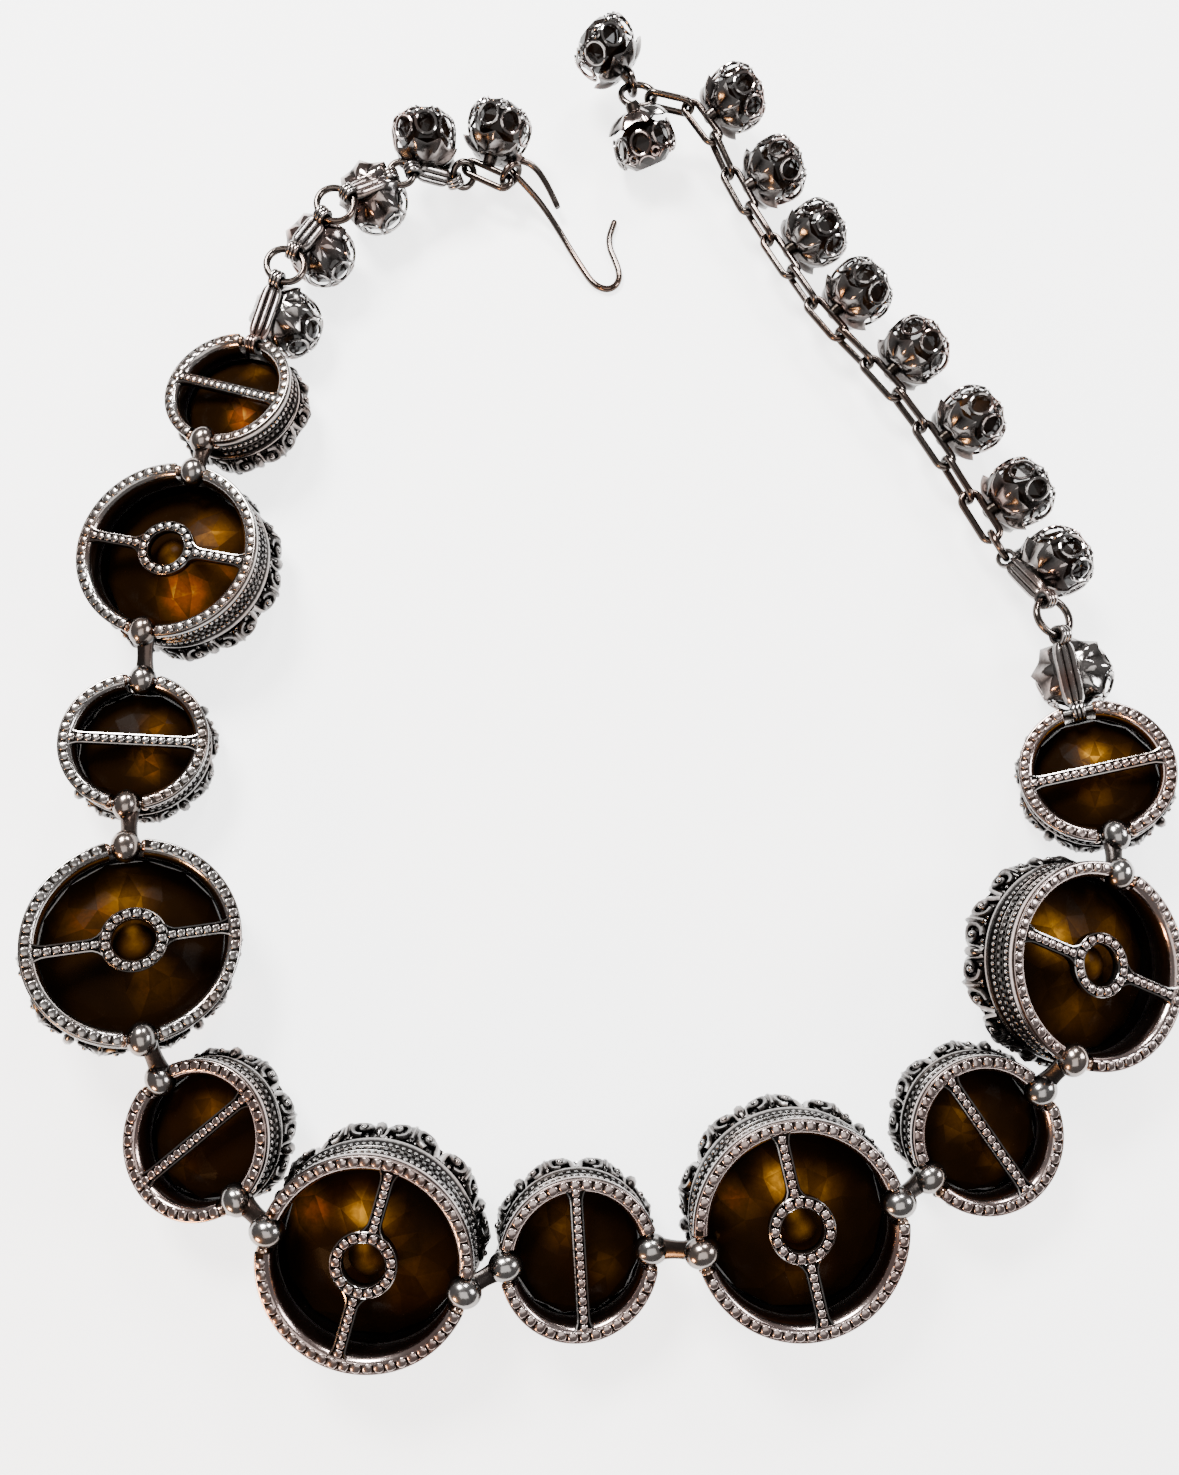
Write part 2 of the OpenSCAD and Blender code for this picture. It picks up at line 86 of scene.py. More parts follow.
# [size, x, y, heading, lean to the side, lean along the chain]
STATIONS = [
    [SMALL, -45.2, 24.9, -110, 9, -2],
    [LARGE, -49.5, 3.5, -102, 4, 2],
    [SMALL, -51.5, -18.0, -90, -10, -2],
    [LARGE, -47.7, -39.5, -79, -22, 0],
    [SMALL, -41.2, -58.6, -52, 12, -2],
    [LARGE, -23.5, -69.3, -16, 16, 2],
    [SMALL, -3.4, -69.4, 5, 12, 6],
    [LARGE, 17.5, -66.4, 13, 12, 0],
    [SMALL, 36.6, -58.2, 35, 11, -2],
    [LARGE, 48.2, -42.0, 70, 18, -1],
    [SMALL, 51.2, -21.5, 98, -20, 4],
]


def set_down(place, turn=(0, 0, 0)):
    """Where a part goes, and how it is turned, in degrees."""
    return Matrix.Translation(place) @ Euler([radians(a) for a in turn]).to_matrix().to_4x4()


def spin(angle, axis="Z"):
    """A turn by an angle in radians."""
    return Matrix.Rotation(angle, 4, axis)


def around(steps):
    """Angles in even steps all the way round."""
    return [tau * i / steps for i in range(steps)]


def stood(place, out):
    """A place whose own z points out of a surface."""
    return set_down(place) @ out.to_track_quat("Z", "Y").to_matrix().to_4x4()


def cage_seat(station):
    """A cage lies so that its lowest boss or front edge rests on the table."""
    size, x, y, heading, side, along = station
    r, d = size["r"], size["d"]
    crown_r = r * FLARE
    level = cos(radians(side)) * cos(radians(along))
    slant = sqrt(1 - level * level)
    edges = [(0.7 * r, d), (0.8 * r + 0.25, 0.97 * d), (crown_r - 0.5, 0.86 * d), (crown_r + 0.1, 0.76 * d)]
    boss = 0.7 * d * level + (crown_r - 0.35) * slant + BOSS_R
    rest = max([boss] + [deep * level + wide * slant for wide, deep in edges])
    return set_down((x, y, rest), (side, along, heading))


class Metalwork:
    """A piece's points and faces, as its parts are laid together. Each point has a rub, from 0
    in a corner that stays dark to 1 on an edge that hands keep bright."""

    def __init__(self):
        self.points, self.faces, self.rubs, self.metals = [], [], [], []
        self.metal = 0

    def skin(self, rings, rubs, loop=False, tube=False, caps=False, place=None):
        """Faces over rings of equally many points. A loop joins its last ring to its first,
        and a tube joins each ring's last point to its first."""
        base, count, rows = len(self.points), len(rings[0]), len(rings)
        for ring, rub in zip(rings, rubs):
            for k, point in enumerate(ring):
                self.points.append(place @ Vector(point) if place else Vector(point))
                self.rubs.append(rub[k] if isinstance(rub, list) else rub)
        for i in range(rows if loop else rows - 1):
            low, high = base + i * count, base + (i + 1) % rows * count
            for j in range(count if tube else count - 1):
                k = (j + 1) % count
                self.faces.append((low + j, low + k, high + k, high + j))
                self.metals.append(self.metal)
        if caps:
            self.faces.append(tuple(base + j for j in range(count)))
            self.faces.append(tuple(base + (rows - 1) * count + j for j in range(count)))
            self.metals += [self.metal] * 2

    def lathe(self, profile, steps, span=None, tube=True, place=None):
        """A profile of (radius, height, rub) turned all the way round, or over a span of angles."""
        start, end = span or (0, tau)
        turns = [start + (end - start) * i / steps for i in range(steps + (1 if span else 0))]
        rings = [[(r * cos(a), r * sin(a), z) for r, z, _ in profile] for a in turns]
        rubs = [[rub for _, _, rub in profile]] * len(rings)
        self.skin(rings, rubs, not span, tube, bool(span) and tube, place)

    def bead(self, place, r, height, sides=8, squared=0.0, shine=1.0):
        """A low domed bead standing on the place's own z."""
        rings = []
        for size, z in ((r, -0.1), (r, height * 0.45), (r * 0.9, height * 0.8), (r * 0.6, height)):
            outline = [(a, size * (1 - squared * cos(4 * a))) for a in around(sides)]
            rings.append([(reach * cos(a), reach * sin(a), z) for a, reach in outline])
        base = len(self.points)
        self.skin(rings, [0.0, 0.5 * shine, shine, shine], tube=True, place=place)
        self.faces.append(tuple(base + 3 * sides + j for j in range(sides)))
        self.metals.append(self.metal)

    def wire(self, route, radius, sides=8, loop=False, rub=0.8, squash=1.0, up=(0, 0, 1), crest=False):
        """A wire along a route. Its radius and rub may be one number or one for each point. With
        a crest, only the side that faces away from the cage's axis is rubbed bright."""
        count, rings = len(route), []
        rubs = list(rub) if isinstance(rub, list) else [rub] * count
        radii = radius if isinstance(radius, list) else [radius] * count
        route = [Vector(p) for p in route]
        across = Vector(up)
        for i, middle in enumerate(route):
            after = route[(i + 1) % count] if loop else route[min(i + 1, count - 1)]
            before = route[i - 1] if loop or i else middle
            along = (after - before).normalized()
            across = (across - across.dot(along) * along).normalized()
            third = along.cross(across)
            ring = [middle + radii[i] * (cos(a) * across * squash + sin(a) * third) for a in around(sides)]
            rings.append(ring)
            if crest:
                flat = Vector((middle.x, middle.y))
                out = Vector((*flat, -0.25 * flat.length)).normalized()
                facing = [max(0, (p - middle).normalized().dot(out)) for p in ring]
                rubs[i] = [rubs[i] * (0.3 + 0.7 * share) for share in facing]
        self.skin(rings, rubs, loop, True, not loop)

    def ball(self, place, r, steps=24, rub=0.9):
        """A round ball."""
        rings = []
        for a in [pi * i / 12 for i in range(1, 12)]:
            rings.append([(r * sin(a) * cos(t), r * sin(a) * sin(t), r * cos(a)) for t in around(steps)])
        self.skin(rings, [rub] * 11, tube=True, caps=True, place=place)


MM = 0.001


def face_outward(mesh, weld=None):
    """Turns every face outward, after joining points that lie nearer than the weld."""
    shape = bmesh.new()
    shape.from_mesh(mesh)
    if weld:
        bmesh.ops.remove_doubles(shape, verts=shape.verts, dist=weld)
    bmesh.ops.recalc_face_normals(shape, faces=shape.faces)
    shape.to_mesh(mesh)
    shape.free()


def add_to_choker(name, mesh, replaced):
    """Adds a mesh to the choker, over the solids it replaces."""
    piece = add_object(name, mesh)
    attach(piece, "root")
    if replaced:
        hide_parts(*replaced)


def make_piece(name, work, metals, replaced, painted_side_shade, place=Matrix()):
    """Turns metalwork into a piece in its place, with nothing of it in the table. Sides and
    undersides get painted shade: their rub is lowered the more they face away from up."""
    mesh = bpy.data.meshes.new(name)
    placed = [place @ p for p in work.points]
    mesh.from_pydata([(p.x * MM, p.y * MM, max(p.z, 0) * MM) for p in placed], [], work.faces)
    for metal in metals:
        mesh.materials.append(metal)
    mesh.polygons.foreach_set("material_index", work.metals)
    face_outward(mesh)
    # Painted shade: points that face sideways or down get a lower rub, so they come out darker.
    up_facing = [max(0, vertex.normal.z) for vertex in mesh.vertices]
    rubs = [rub * (1 - painted_side_shade * (1 - up)) for rub, up in zip(work.rubs, up_facing)]
    mesh.attributes.new("rub", "FLOAT", "POINT").data.foreach_set("value", rubs)
    mesh.shade_smooth()
    mesh.set_sharp_from_angle(angle=radians(50))
    add_to_choker(name, mesh, [replaced])


# The metals of a cage, in the order of its material slots
CAST, PIERCING_SHADE, GRAIN, PIN = range(4)


def row_height(size, k):
    """The height where the wall's row k begins, or its middle for k and a half."""
    return WALL_TOP + (-0.42 * size["d"] - WALL_TOP) * k / size["rows"]


def wall_profile(size):
    """The outside of a cage's wall from the rim down to the crown: radius, height, rub."""
    r, d = size["r"], size["d"]
    profile = [(r - 0.2, 0.03, 0.95), (r - 0.13, 0.03, 0.9), (r - 0.03, -0.04, 0.3), (r, -0.18, 0.25),
               (r, -0.36, 0.9), (r, -0.62, 0.8), (r - 0.1, -0.85, 0.35), (r - ROW_IN, -0.95, -0.2)]
    for k in range(1, size["rows"]):
        z = row_height(size, k)
        profile += [(r - ROW_IN, z + 0.15, -0.2), (r - 0.24, z, 0.85), (r - ROW_IN, z - 0.15, -0.2)]
    return profile + [(r - ROW_IN, -0.42 * d + 0.05, -0.2), (r - 0.12, -0.45 * d, 0.85),
                      (r - 0.1, -0.48 * d, 0.9), (r - 0.5, -0.52 * d, 0.0)]


def split_profile(profile, height):
    """Cuts a profile that runs downward in two at a height."""
    for i in range(len(profile) - 1):
        (r1, z1, rub1), (r2, z2, rub2) = profile[i], profile[i + 1]
        if z1 >= height > z2:
            share = (z1 - height) / (z1 - z2)
            cut = (r1 + (r2 - r1) * share, height, rub1 + (rub2 - rub1) * share)
            return profile[:i + 1] + [cut], [cut] + profile[i + 1:]


def rim_and_wall(work, size):
    """The rim with its rounded inner lip, open at both notches, and the wall below it."""
    r, d = size["r"], size["d"]
    lip = r - RIM_W
    inside = [(lip, -NOTCH_DEPTH, 0.5), (lip - 0.2, -2.5, 0.8), (lip - 0.3, -1.6, 1.0),
              (lip - 0.32, -0.95, 1.2), (lip - 0.26, -0.58, 1.3), (lip - 0.13, -0.32, 1.3),
              (lip + 0.03, -0.13, 1.3), (lip + 0.17, -0.03, 1.2), (lip + 0.28, 0.0, 1),
              (lip + 0.36, 0.0, 1), (lip + 0.42, -0.1, 0.1), (r - 0.28, -0.1, 0.1)]
    top, bottom = split_profile(wall_profile(size), -NOTCH_DEPTH)
    rim_foot = 6
    notch = asin(NOTCH_W / 2 / (r - RIM_W / 2))
    steps = int(6 * r)
    for half in (0, pi):
        span = (half + notch, half + pi - notch)
        work.metal = GRAIN
        work.lathe(inside + top[:rim_foot + 1], steps, span)
        work.metal = CAST
        work.lathe(top[rim_foot:], steps, span, tube=False)
    shelf = [(r - 1.0, -0.6 * d, 0.1), (0.8 * r, -0.86 * d, 0.2), (0.8 * r, -0.8 * d, 0.3),
             (lip, -0.62 * d, 0.5), (lip, -NOTCH_DEPTH, 0.9)]
    work.lathe(bottom + shelf, 2 * steps)


def rim_beads(work, size):
    """The beads round the rim, no two quite alike."""
    r = size["r"]
    work.metal = GRAIN
    for i, a in enumerate(around(int(tau * (r - RIM_W / 2) / RIM_BEAD_PITCH))):
        if abs(sin(a)) * r > NOTCH_W / 2 + 0.5:
            stand = spin(a) @ set_down((r - RIM_W / 2, 0, -0.14)) @ spin(0.2 * sin(7 * i))
            work.bead(stand, 0.535 + 0.02 * sin(3.7 * i), 0.24 + 0.03 * sin(5.1 * i), 8,
                      0.06 + 0.04 * sin(2.9 * i), 0.9 + 0.12 * sin(11.3 * i))
    work.metal = CAST


def engraved_rows(work, size):
    """Rows of fine grains round the wall between raised lines, clear of the notches."""
    r = size["r"]
    for k in range(size["rows"]):
        z = row_height(size, k + 0.5)
        pitch, width, sides, turn = (0.78, 0.3, 4, pi / 4) if k % 2 else (0.66, 0.26, 6, 0)
        for i, a in enumerate(around(int(tau * r / pitch))):
            if z <= -NOTCH_DEPTH - 0.4 or abs(sin(a)) * r >= NOTCH_W / 2 + 0.35:
                stand = spin(a) @ set_down((r - ROW_IN, 0, z)) @ spin(pi / 2, "Y") @ spin(turn)
                work.bead(stand, width, 0.28, sides, 0, 0.95 + 0.3 * sin(i * 37.7 + k * 5))


def back_bar(work, size):
    """The beaded bar with two thin rails, which opens into a ring on a large cage."""
    ringed = size["ringed"]
    reach = size["r"] - RIM_W + 0.25
    start, first_bead = (2.9, BAR_RING_R + 0.95) if ringed else (0, 0.42)

    def section(s):
        """The bar's section so far from the cage's middle: across, height, rub."""
        near_ring = max(0, 1 - (s - 3.0) / 1.1) if ringed else 0
        near_rim = max(0, 1 - (reach - s) / 1.3)
        w = 0.58 + 0.5 * near_ring ** 2 + 0.45 * near_rim ** 2
        half = [(w - 0.2, -0.12, 0.1), (w - 0.1, 0.02, 1), (w + 0.02, 0.0, 1), (w + 0.1, -0.2, 0.6),
                (w, -0.85, 0.2)]
        return [(-x, z, rub) for x, z, rub in reversed(half)] + half

    places = [start + (reach - start) * i / 14 for i in range(15)]
    for side in (-1, 1):
        rings = [[(x, side * s, z) for x, z, _ in section(s)] for s in places]
        work.skin(rings, [[rub for _, _, rub in section(0)]] * 15, tube=True, caps=True)
        work.metal = GRAIN
        for i in range(int((reach - 0.3 - first_bead) / BAR_BEAD_PITCH) + 1):
            stand = set_down((0, side * (first_bead + BAR_BEAD_PITCH * i), -0.14), (0, 0, 7 * sin(5 * i)))
            work.bead(stand, 0.435, 0.26, 8, 0.08, 0.92 + 0.1 * sin(9 * i))
        work.metal = CAST
    if ringed:
        work.lathe([(2.05, -0.85, 0.3), (2.03, -0.1, 0.7), (2.12, 0.0, 1), (2.24, -0.1, 0.2),
                    (3.0, -0.1, 0.2), (3.1, 0.0, 1), (3.2, -0.08, 0.8), (3.16, -0.85, 0.3)], 48)
        work.metal = GRAIN
        for i, a in enumerate(around(17)):
            stand = spin(a) @ set_down((BAR_RING_R, 0, -0.13))
            work.bead(stand, 0.47, 0.27, 8, 0.09, 0.92 + 0.1 * sin(9 * i))
        work.metal = CAST


def on_crown(size, turn, v, lift):
    """A point on the crown: turn counts lobes, v runs from the wall to the front, and lift
    stands off the surface. The section from wall to front is (radius, depth)."""
    r, d = size["r"], size["d"]
    full = r * FLARE
    section = [(r - 0.55, 0.5 * d), (full - 0.8, 0.57 * d), (full - 0.48, 0.66 * d), (full - 0.45, 0.74 * d),
               (full - 0.9, 0.84 * d), (0.8 * r + 0.1, 0.92 * d), (0.71 * r, 0.96 * d)]
    spans = [sqrt((b[0] - a[0]) ** 2 + (b[1] - a[1]) ** 2) for a, b in zip(section, section[1:])]
    left = min(max(v, 0), 0.999) * sum(spans)
    k = 0
    while left > spans[k]:
        left -= spans[k]
        k += 1
    share = left / spans[k]
    (r1, d1), (r2, d2) = section[k], section[k + 1]
    out = ((d2 - d1) / spans[k], -(r2 - r1) / spans[k])
    off = turn - floor(turn) - 0.5
    dip = 0.075 * r * (abs(off) * 2) ** 2.5 * sin(pi * min(v * 1.1, 1)) ** 0.7
    radius = r1 + (r2 - r1) * share + lift * out[0] - dip
    depth = d1 + (d2 - d1) * share + lift * out[1]
    a = tau * (turn - 0.5 + LOBE_TURN) / size["lobes"]
    return Vector((radius * cos(a), radius * sin(a), -depth))


def crown_band(work, size):
    """The lobed band under the crown's relief, folded in at the front."""
    lobes, r, d = size["lobes"], size["r"], size["d"]
    steps = lobes * 10
    rings = []
    for i in range(steps):
        turn = lobes * i / steps
        a = tau * (turn - 0.5 + LOBE_TURN) / lobes
        ring = [on_crown(size, turn, v / 10, 0) for v in range(11)]
        for wide, deep in ((0.7, 0.93), (0.8, 0.86)):
            ring.append((wide * r * cos(a), wide * r * sin(a), -deep * d))
        rings.append(ring)
    work.skin(rings, [[0.0] * 9 + [0.4, 0.6, 0.3, 0.1]] * steps, loop=True)


def spiral(u, v, r, start, turns, steps, stretch):
    """A scroll that winds in, as (u, v, share of its length)."""
    route = []
    for i in range(steps + 1):
        t = i / steps
        a = start + turns * tau * t
        reach = r * (1 - 0.85 * t)
        route.append((u + reach * cos(a), v + reach * sin(a) * stretch, t))
    return route


def lobe_relief(work, size, lobe):
    """One lobe of the crown: an arch over two scrolls, two curls, a leaf, grains and a claw."""
    stretch = tau * size["r"] / size["lobes"] / (0.62 * size["d"])
    middle = lobe + 0.5

    def lay(route, width, lift, rub=0.8):
        """Lays a tapered wire over points (u, v, share of its length) of the lobe."""
        taper = [width * (1 - 0.4 * t) for _, _, t in route]
        work.wire([on_crown(size, middle + u, v, lift) for u, v, _ in route], taper, 6, rub=rub, crest=True)

    def grain(u, v, r, lift=0.2):
        work.ball(set_down(on_crown(size, middle + u, v, lift)), r, 8, 0.95)

    arch = [(-0.47 + 0.94 * i / 18, 0.06 + 0.66 * sin(pi * i / 18) ** 0.55, 0) for i in range(19)]
    scroll = spiral(-0.23, 0.3, 0.2, -pi / 2, 1.25, 20, stretch)
    curl = spiral(-0.35, 0.74, 0.12, pi / 2, -1.1, 12, stretch)
    brow = [(0.03 + 0.22 * t, 0.77 + 0.13 * sin(pi * t), t) for t in [i / 6 for i in range(7)]]
    lay(arch, 0.36, 0.2, 1.0)
    for side in (-1, 1):
        for route, width, lift in ((scroll, 0.36, 0.32), (curl, 0.3, 0.25), (brow, 0.26, 0.25)):
            lay([(side * u, v, t) for u, v, t in route], width, lift)
        grain(side * 0.23, 0.3, 0.34, 0.4)
        grain(side * 0.35, 0.74, 0.28, 0.3)
    leaf = [(0, 0.1 + 0.52 * i / 8, 0) for i in range(9)]
    blade = [0.1 + 0.62 * sin(pi * (i + 0.3) / 8.6) ** 0.8 for i in range(9)]
    work.wire([on_crown(size, middle, v, 0.2) for _, v, _ in leaf], blade, 8, squash=0.7, crest=True)
    lay(leaf, 0.14, 0.66, 1.0)
    for u, v in ((-0.1, 0.74), (0, 0.79), (0.1, 0.74)):
        grain(u, v, 0.26)
    for i in range(8):
        for row in (0.15, 0.5, 0.86):
            column = 0.12 * i - 0.42
            u = column + 0.025 * sin(91 * column + 17 * row + lobe)
            v = row + 0.03 * sin(53 * column + 7 * lobe)
            foot, tip = on_crown(size, middle + u, v, 0), on_crown(size, middle + u, v, 0.3)
            work.bead(stood(foot, tip - foot), 0.24, 0.3, 6, 0, 0.8 + 0.3 * sin(41 * u + 29 * v))
    claw = [on_crown(size, middle, 0.82 + 0.17 * i / 6, 0.15) for i in range(7)]
    work.wire(claw, [0.42, 0.42, 0.42, 0.4, 0.36, 0.3, 0.2], 8, rub=0.9, crest=True)


def lobe_gap(work, size, lobe):
    """The dip before a lobe: a raised ring round a disc of painted shade, and a bud in every other dip."""
    if lobe % 2:
        bud = [on_crown(size, lobe, 0.05 + 0.5 * i / 8, 0.15 + 0.75 * sin(pi * i / 8)) for i in range(9)]
        work.wire(bud, [0.12, 0.3, 0.45, 0.55, 0.6, 0.52, 0.4, 0.25, 0.1], 8,
                  rub=[0.4, 0.7, 0.9, 0.95, 1.0, 0.9, 0.8, 0.6, 0.4], crest=True)
    v, wide = (0.74, 0.62) if lobe % 2 else (0.42, 1.0)
    pit = on_crown(size, lobe, v, 0.0)
    lie = stood(pit, Vector((pit.x, pit.y, 0)).normalized())
    work.lathe([(0.6 * wide, 0.0, 0.7), (0.8 * wide, 0.3, 1), (1.05 * wide, 0.1, 0.4),
                (0.95 * wide, -0.2, 0.1), (0.6 * wide, -0.3, 0.1)], 14, place=lie)
    # Painted shade: a near-black disc stands for the dark hole of the piercing.
    work.metal = PIERCING_SHADE
    work.lathe([(0.02, -0.22, 0), (0.63 * wide, -0.2, 0)], 14, tube=False, place=lie)
    work.metal = CAST


def hinge_pins(work, size):
    """A pin across each notch, with a copper collar at either end."""
    for side in (-1, 1):
        x = side * (size["r"] - PIN_IN)
        work.wire([(x, -2.05 + 4.1 * i / 4, -PIN_DROP) for i in range(5)], PIN_R, 12)
        work.metal = PIN
        for y in (-1, 1):
            collar = [(x, y * (1.5 + 0.14 * i), -PIN_DROP) for i in range(6)]
            work.wire(collar, [0.5, 0.62, 0.66, 0.66, 0.62, 0.5], 14, rub=0.9)
        work.metal = CAST


def cage_casting(size):
    """A whole cage lying on its front, with the rim's top at height 0."""
    work = Metalwork()
    rim_and_wall(work, size)
    rim_beads(work, size)
    engraved_rows(work, size)
    back_bar(work, size)
    crown_band(work, size)
    for lobe in range(size["lobes"]):
        lobe_relief(work, size, lobe)
        lobe_gap(work, size, lobe)
    hinge_pins(work, size)
    return work


class Shade:
    """A number or colour in a material. Python's arithmetic on it adds the nodes."""

    def __init__(self, tree, socket=None):
        self.tree, self.socket = tree, socket

    def node(self, kind, settings=None, inputs=None, out=0):
        """Adds a node of any kind and gives one of its outputs."""
        made = self.tree.nodes.new("ShaderNode" + kind)
        for key, value in (settings or {}).items():
            setattr(made, key, value)
        for key, value in (inputs or {}).items():
            if isinstance(value, Shade):
                self.tree.links.new(value.socket, made.inputs[key])
            else:
                made.inputs[key].default_value = value
        return Shade(self.tree, made.outputs[out])

    def join(self, operation, other, swapped=False):
        """Adds a Math node, or a Vector Math node where a colour or vector takes part."""
        wide = any(isinstance(s, Shade) and s.socket.type in ("RGBA", "VECTOR") for s in (self, other))
        if wide and not isinstance(other, Shade):
            other = (other, other, other)
        first, second = (other, self) if swapped else (self, other)
        return self.node("VectorMath" if wide else "Math", {"operation": operation}, {0: first, 1: second})

    def __add__(self, other):
        return self.join("ADD", other)

    def __sub__(self, other):
        return self.join("SUBTRACT", other)

    def __mul__(self, other):
        return self.join("MULTIPLY", other)

    def __rsub__(self, other):
        return self.join("SUBTRACT", other, True)

    __radd__, __rmul__ = __add__, __mul__

    def between(self, low, high):
        """Mixes two colours by this mask. A plain one is its red, green and blue."""
        low, high = [c if isinstance(c, Shade) else (*c, 1) for c in (low, high)]
        return self.node("Mix", {"data_type": "RGBA"}, {0: self, 6: low, 7: high}, 2)

    def rise(self, low, high):
        """A mask that rises from 0 to 1 between two levels of this value."""
        levels = {"Value": self, "From Min": low, "From Max": high}
        return self.node("MapRange", {"interpolation_type": "SMOOTHSTEP"}, levels)

    def into(self, socket):
        """Links this value to one of the shader's sockets."""
        self.tree.links.new(self.socket, socket)


def new_material(name, constants):
    """A material, its shader's sockets with their constants, and a start for its shades."""
    material = bpy.data.materials.new(name)
    material.use_nodes = True
    sockets = material.node_tree.nodes["Principled BSDF"].inputs
    for socket, value in constants.items():
        sockets[socket].default_value = value
    return material, sockets, Shade(material.node_tree)


def carried(surface, name):
    """A value that the mesh's own points or corners carry."""
    return surface.node("Attribute", {"attribute_name": name}, out="Fac")


def noise_at(surface, patch, detail=3.0, roughness=0.55, distortion=0.0):
    """Cloudy variation whose patches are so many millimetres wide."""
    where = surface.node("TexCoord", out="Object")
    cloud = {"Vector": where, "Scale": 1000 / patch, "Detail": detail, "Roughness": roughness}
    return surface.node("TexNoise", None, {**cloud, "Distortion": distortion})


def metal_finish(name, bright, dark, blush, rough, levels=(0.08, 0.8), grain=0.35, metallic=1.0):
    """Antiqued metal: dark stays in the corners, raised places are rubbed bright, a warm blush shows
    in patches where the plating has worn thin, and the rub carries painted shade on sides and undersides.
    Rough runs from bright to dark."""
    material, sockets, surface = new_material(name, {"Metallic": metallic})
    fine = noise_at(surface, 0.35, 4)
    patches = noise_at(surface, 2.2, 3, 0.6, 0.4)
    polish = (carried(surface, "rub") + (fine - 0.5) * grain + (patches - 0.5) * 0.25).rise(*levels)
    lit = noise_at(surface, 7.0, 2).rise(0.45, 0.7).between(bright, blush)
    polish.between(dark, lit).into(sockets["Base Color"])
    (rough[1] - polish * (rough[1] - rough[0]) + (fine - 0.5) * 0.12).into(sockets["Roughness"])
    relief = {"Height": fine * 0.6 + patches * 0.4, "Strength": 0.35, "Distance": 0.06 * MM}
    surface.node("Bump", None, relief).into(sockets["Normal"])
    return material


cast_metal = metal_finish("antiqued_casting", (0.27, 0.257, 0.25), (0.006, 0.005, 0.0045),
                          (0.23, 0.18, 0.16), (0.1, 0.32), (0.34, 1.05))
silver_grain = metal_finish("silver_grain", (0.34, 0.318, 0.305), (0.014, 0.011, 0.009),
                            (0.29, 0.22, 0.19), (0.16, 0.36), (0.25, 1.0))
rosy_grain = metal_finish("rosy_grain", (0.38, 0.305, 0.285), (0.014, 0.009, 0.007),
                          (0.33, 0.235, 0.21), (0.16, 0.36), (0.25, 1.0))
pin_copper = metal_finish(
    "copper_pin", (0.42, 0.28, 0.21), (0.07, 0.04, 0.025), (0.4, 0.23, 0.14), (0.15, 0.35))
# A near-black finish for the discs of painted shade in the piercings.
piercing_shade_finish = metal_finish("painted_piercing_shade", (0.03, 0.025, 0.022), (0.008, 0.006, 0.005),
                           (0.03, 0.02, 0.015), (0.5, 0.8), metallic=0.3)
SILVER_CAGES = 4
large_cage = cage_casting(LARGE)
small_cage = cage_casting(SMALL)
for number, station in enumerate(STATIONS, 1):
    casting = large_cage if station[0] is LARGE else small_cage
    metals = [cast_metal, piercing_shade_finish, silver_grain if number <= SILVER_CAGES else rosy_grain, pin_copper]
    make_piece(f"cage_casting_{number}", casting, metals, f"cage_{number}", 0.22,
               cage_seat(station))

# Main stones. Each cage holds a dark amber stone of moulded glass, cut in facets front and
# back, with a table in front. Painted glows that emit light stand for the light out of its back.
# The round culet shows through the ring of a large cage's bar, with a painted highlight.
GIRDLE_IN = RIM_W + 0.1
CULET_R = 2.0

# The painted glows of each stone: [bearing on the table, share of the radius, spread, warmth, strength]
PAINTED_GLOWS = [
    [(-65, 0.5, 0.3, 0.8, 0.9), (60, 0.7, 0.25, 0.4, 0.45)],
    [(-75, 0.52, 0.3, 1.0, 1.0), (35, 0.55, 0.28, 0.45, 0.8), (-20, 0.7, 0.2, 0.8, 0.4)],
    [(-55, 0.4, 0.3, 0.6, 0.6), (50, 0.45, 0.25, 0.5, 0.5)],
    [(105, 0.5, 0.28, 0.3, 0.65), (160, 0.6, 0.3, 0.9, 0.4), (-60, 0.5, 0.3, 0.7, 0.4)],
    [(70, 0.4, 0.3, 0.5, 0.45), (-120, 0.6, 0.25, 0.3, 0.25)],
    [(105, 0.45, 0.2, 0.2, 1.0), (150, 0.78, 0.22, 1.0, 0.75), (60, 0.4, 0.25, 0.1, 0.4),
     (-30, 0.5, 0.4, 0.5, 0.25)],
    [(120, 0.5, 0.35, 0.3, 0.4), (-30, 0.5, 0.3, 0.0, 0.3)],
    [(115, 0.45, 0.22, 0.15, 1.0), (165, 0.7, 0.22, 0.9, 0.5), (50, 0.4, 0.25, 0.3, 0.45),
     (-90, 0.6, 0.3, 0.4, 0.25)],
    [(150, 0.4, 0.35, 0.2, 0.45), (-60, 0.5, 0.3, 0.3, 0.3)],
    [(140, 0.5, 0.28, 0.2, 0.95), (40, 0.5, 0.35, 0.2, 0.4), (-100, 0.5, 0.35, 0.5, 0.35)],
    [(90, 0.35, 0.25, 0.15, 1.0), (20, 0.5, 0.3, 0.4, 0.4), (-90, 0.4, 0.3, 0.1, 0.35)],
]


def split_facet(number, corners, fine):
    """A facet's small flat faces, each with the facet's number and its own three corners."""
    a, b, c = corners
    shares = [i / fine for i in range(fine + 1)]
    spots = [[a + (b - a) * s + (c - a) * t for t in shares] for s in shares]
    faces = []
    for i in range(fine):
        for j in range(fine - i):
            faces.append((number, (spots[i][j], spots[i + 1][j], spots[i][j + 1])))
            if i + j < fine - 1:
                faces.append((number, (spots[i + 1][j], spots[i + 1][j + 1], spots[i][j + 1])))
    return faces


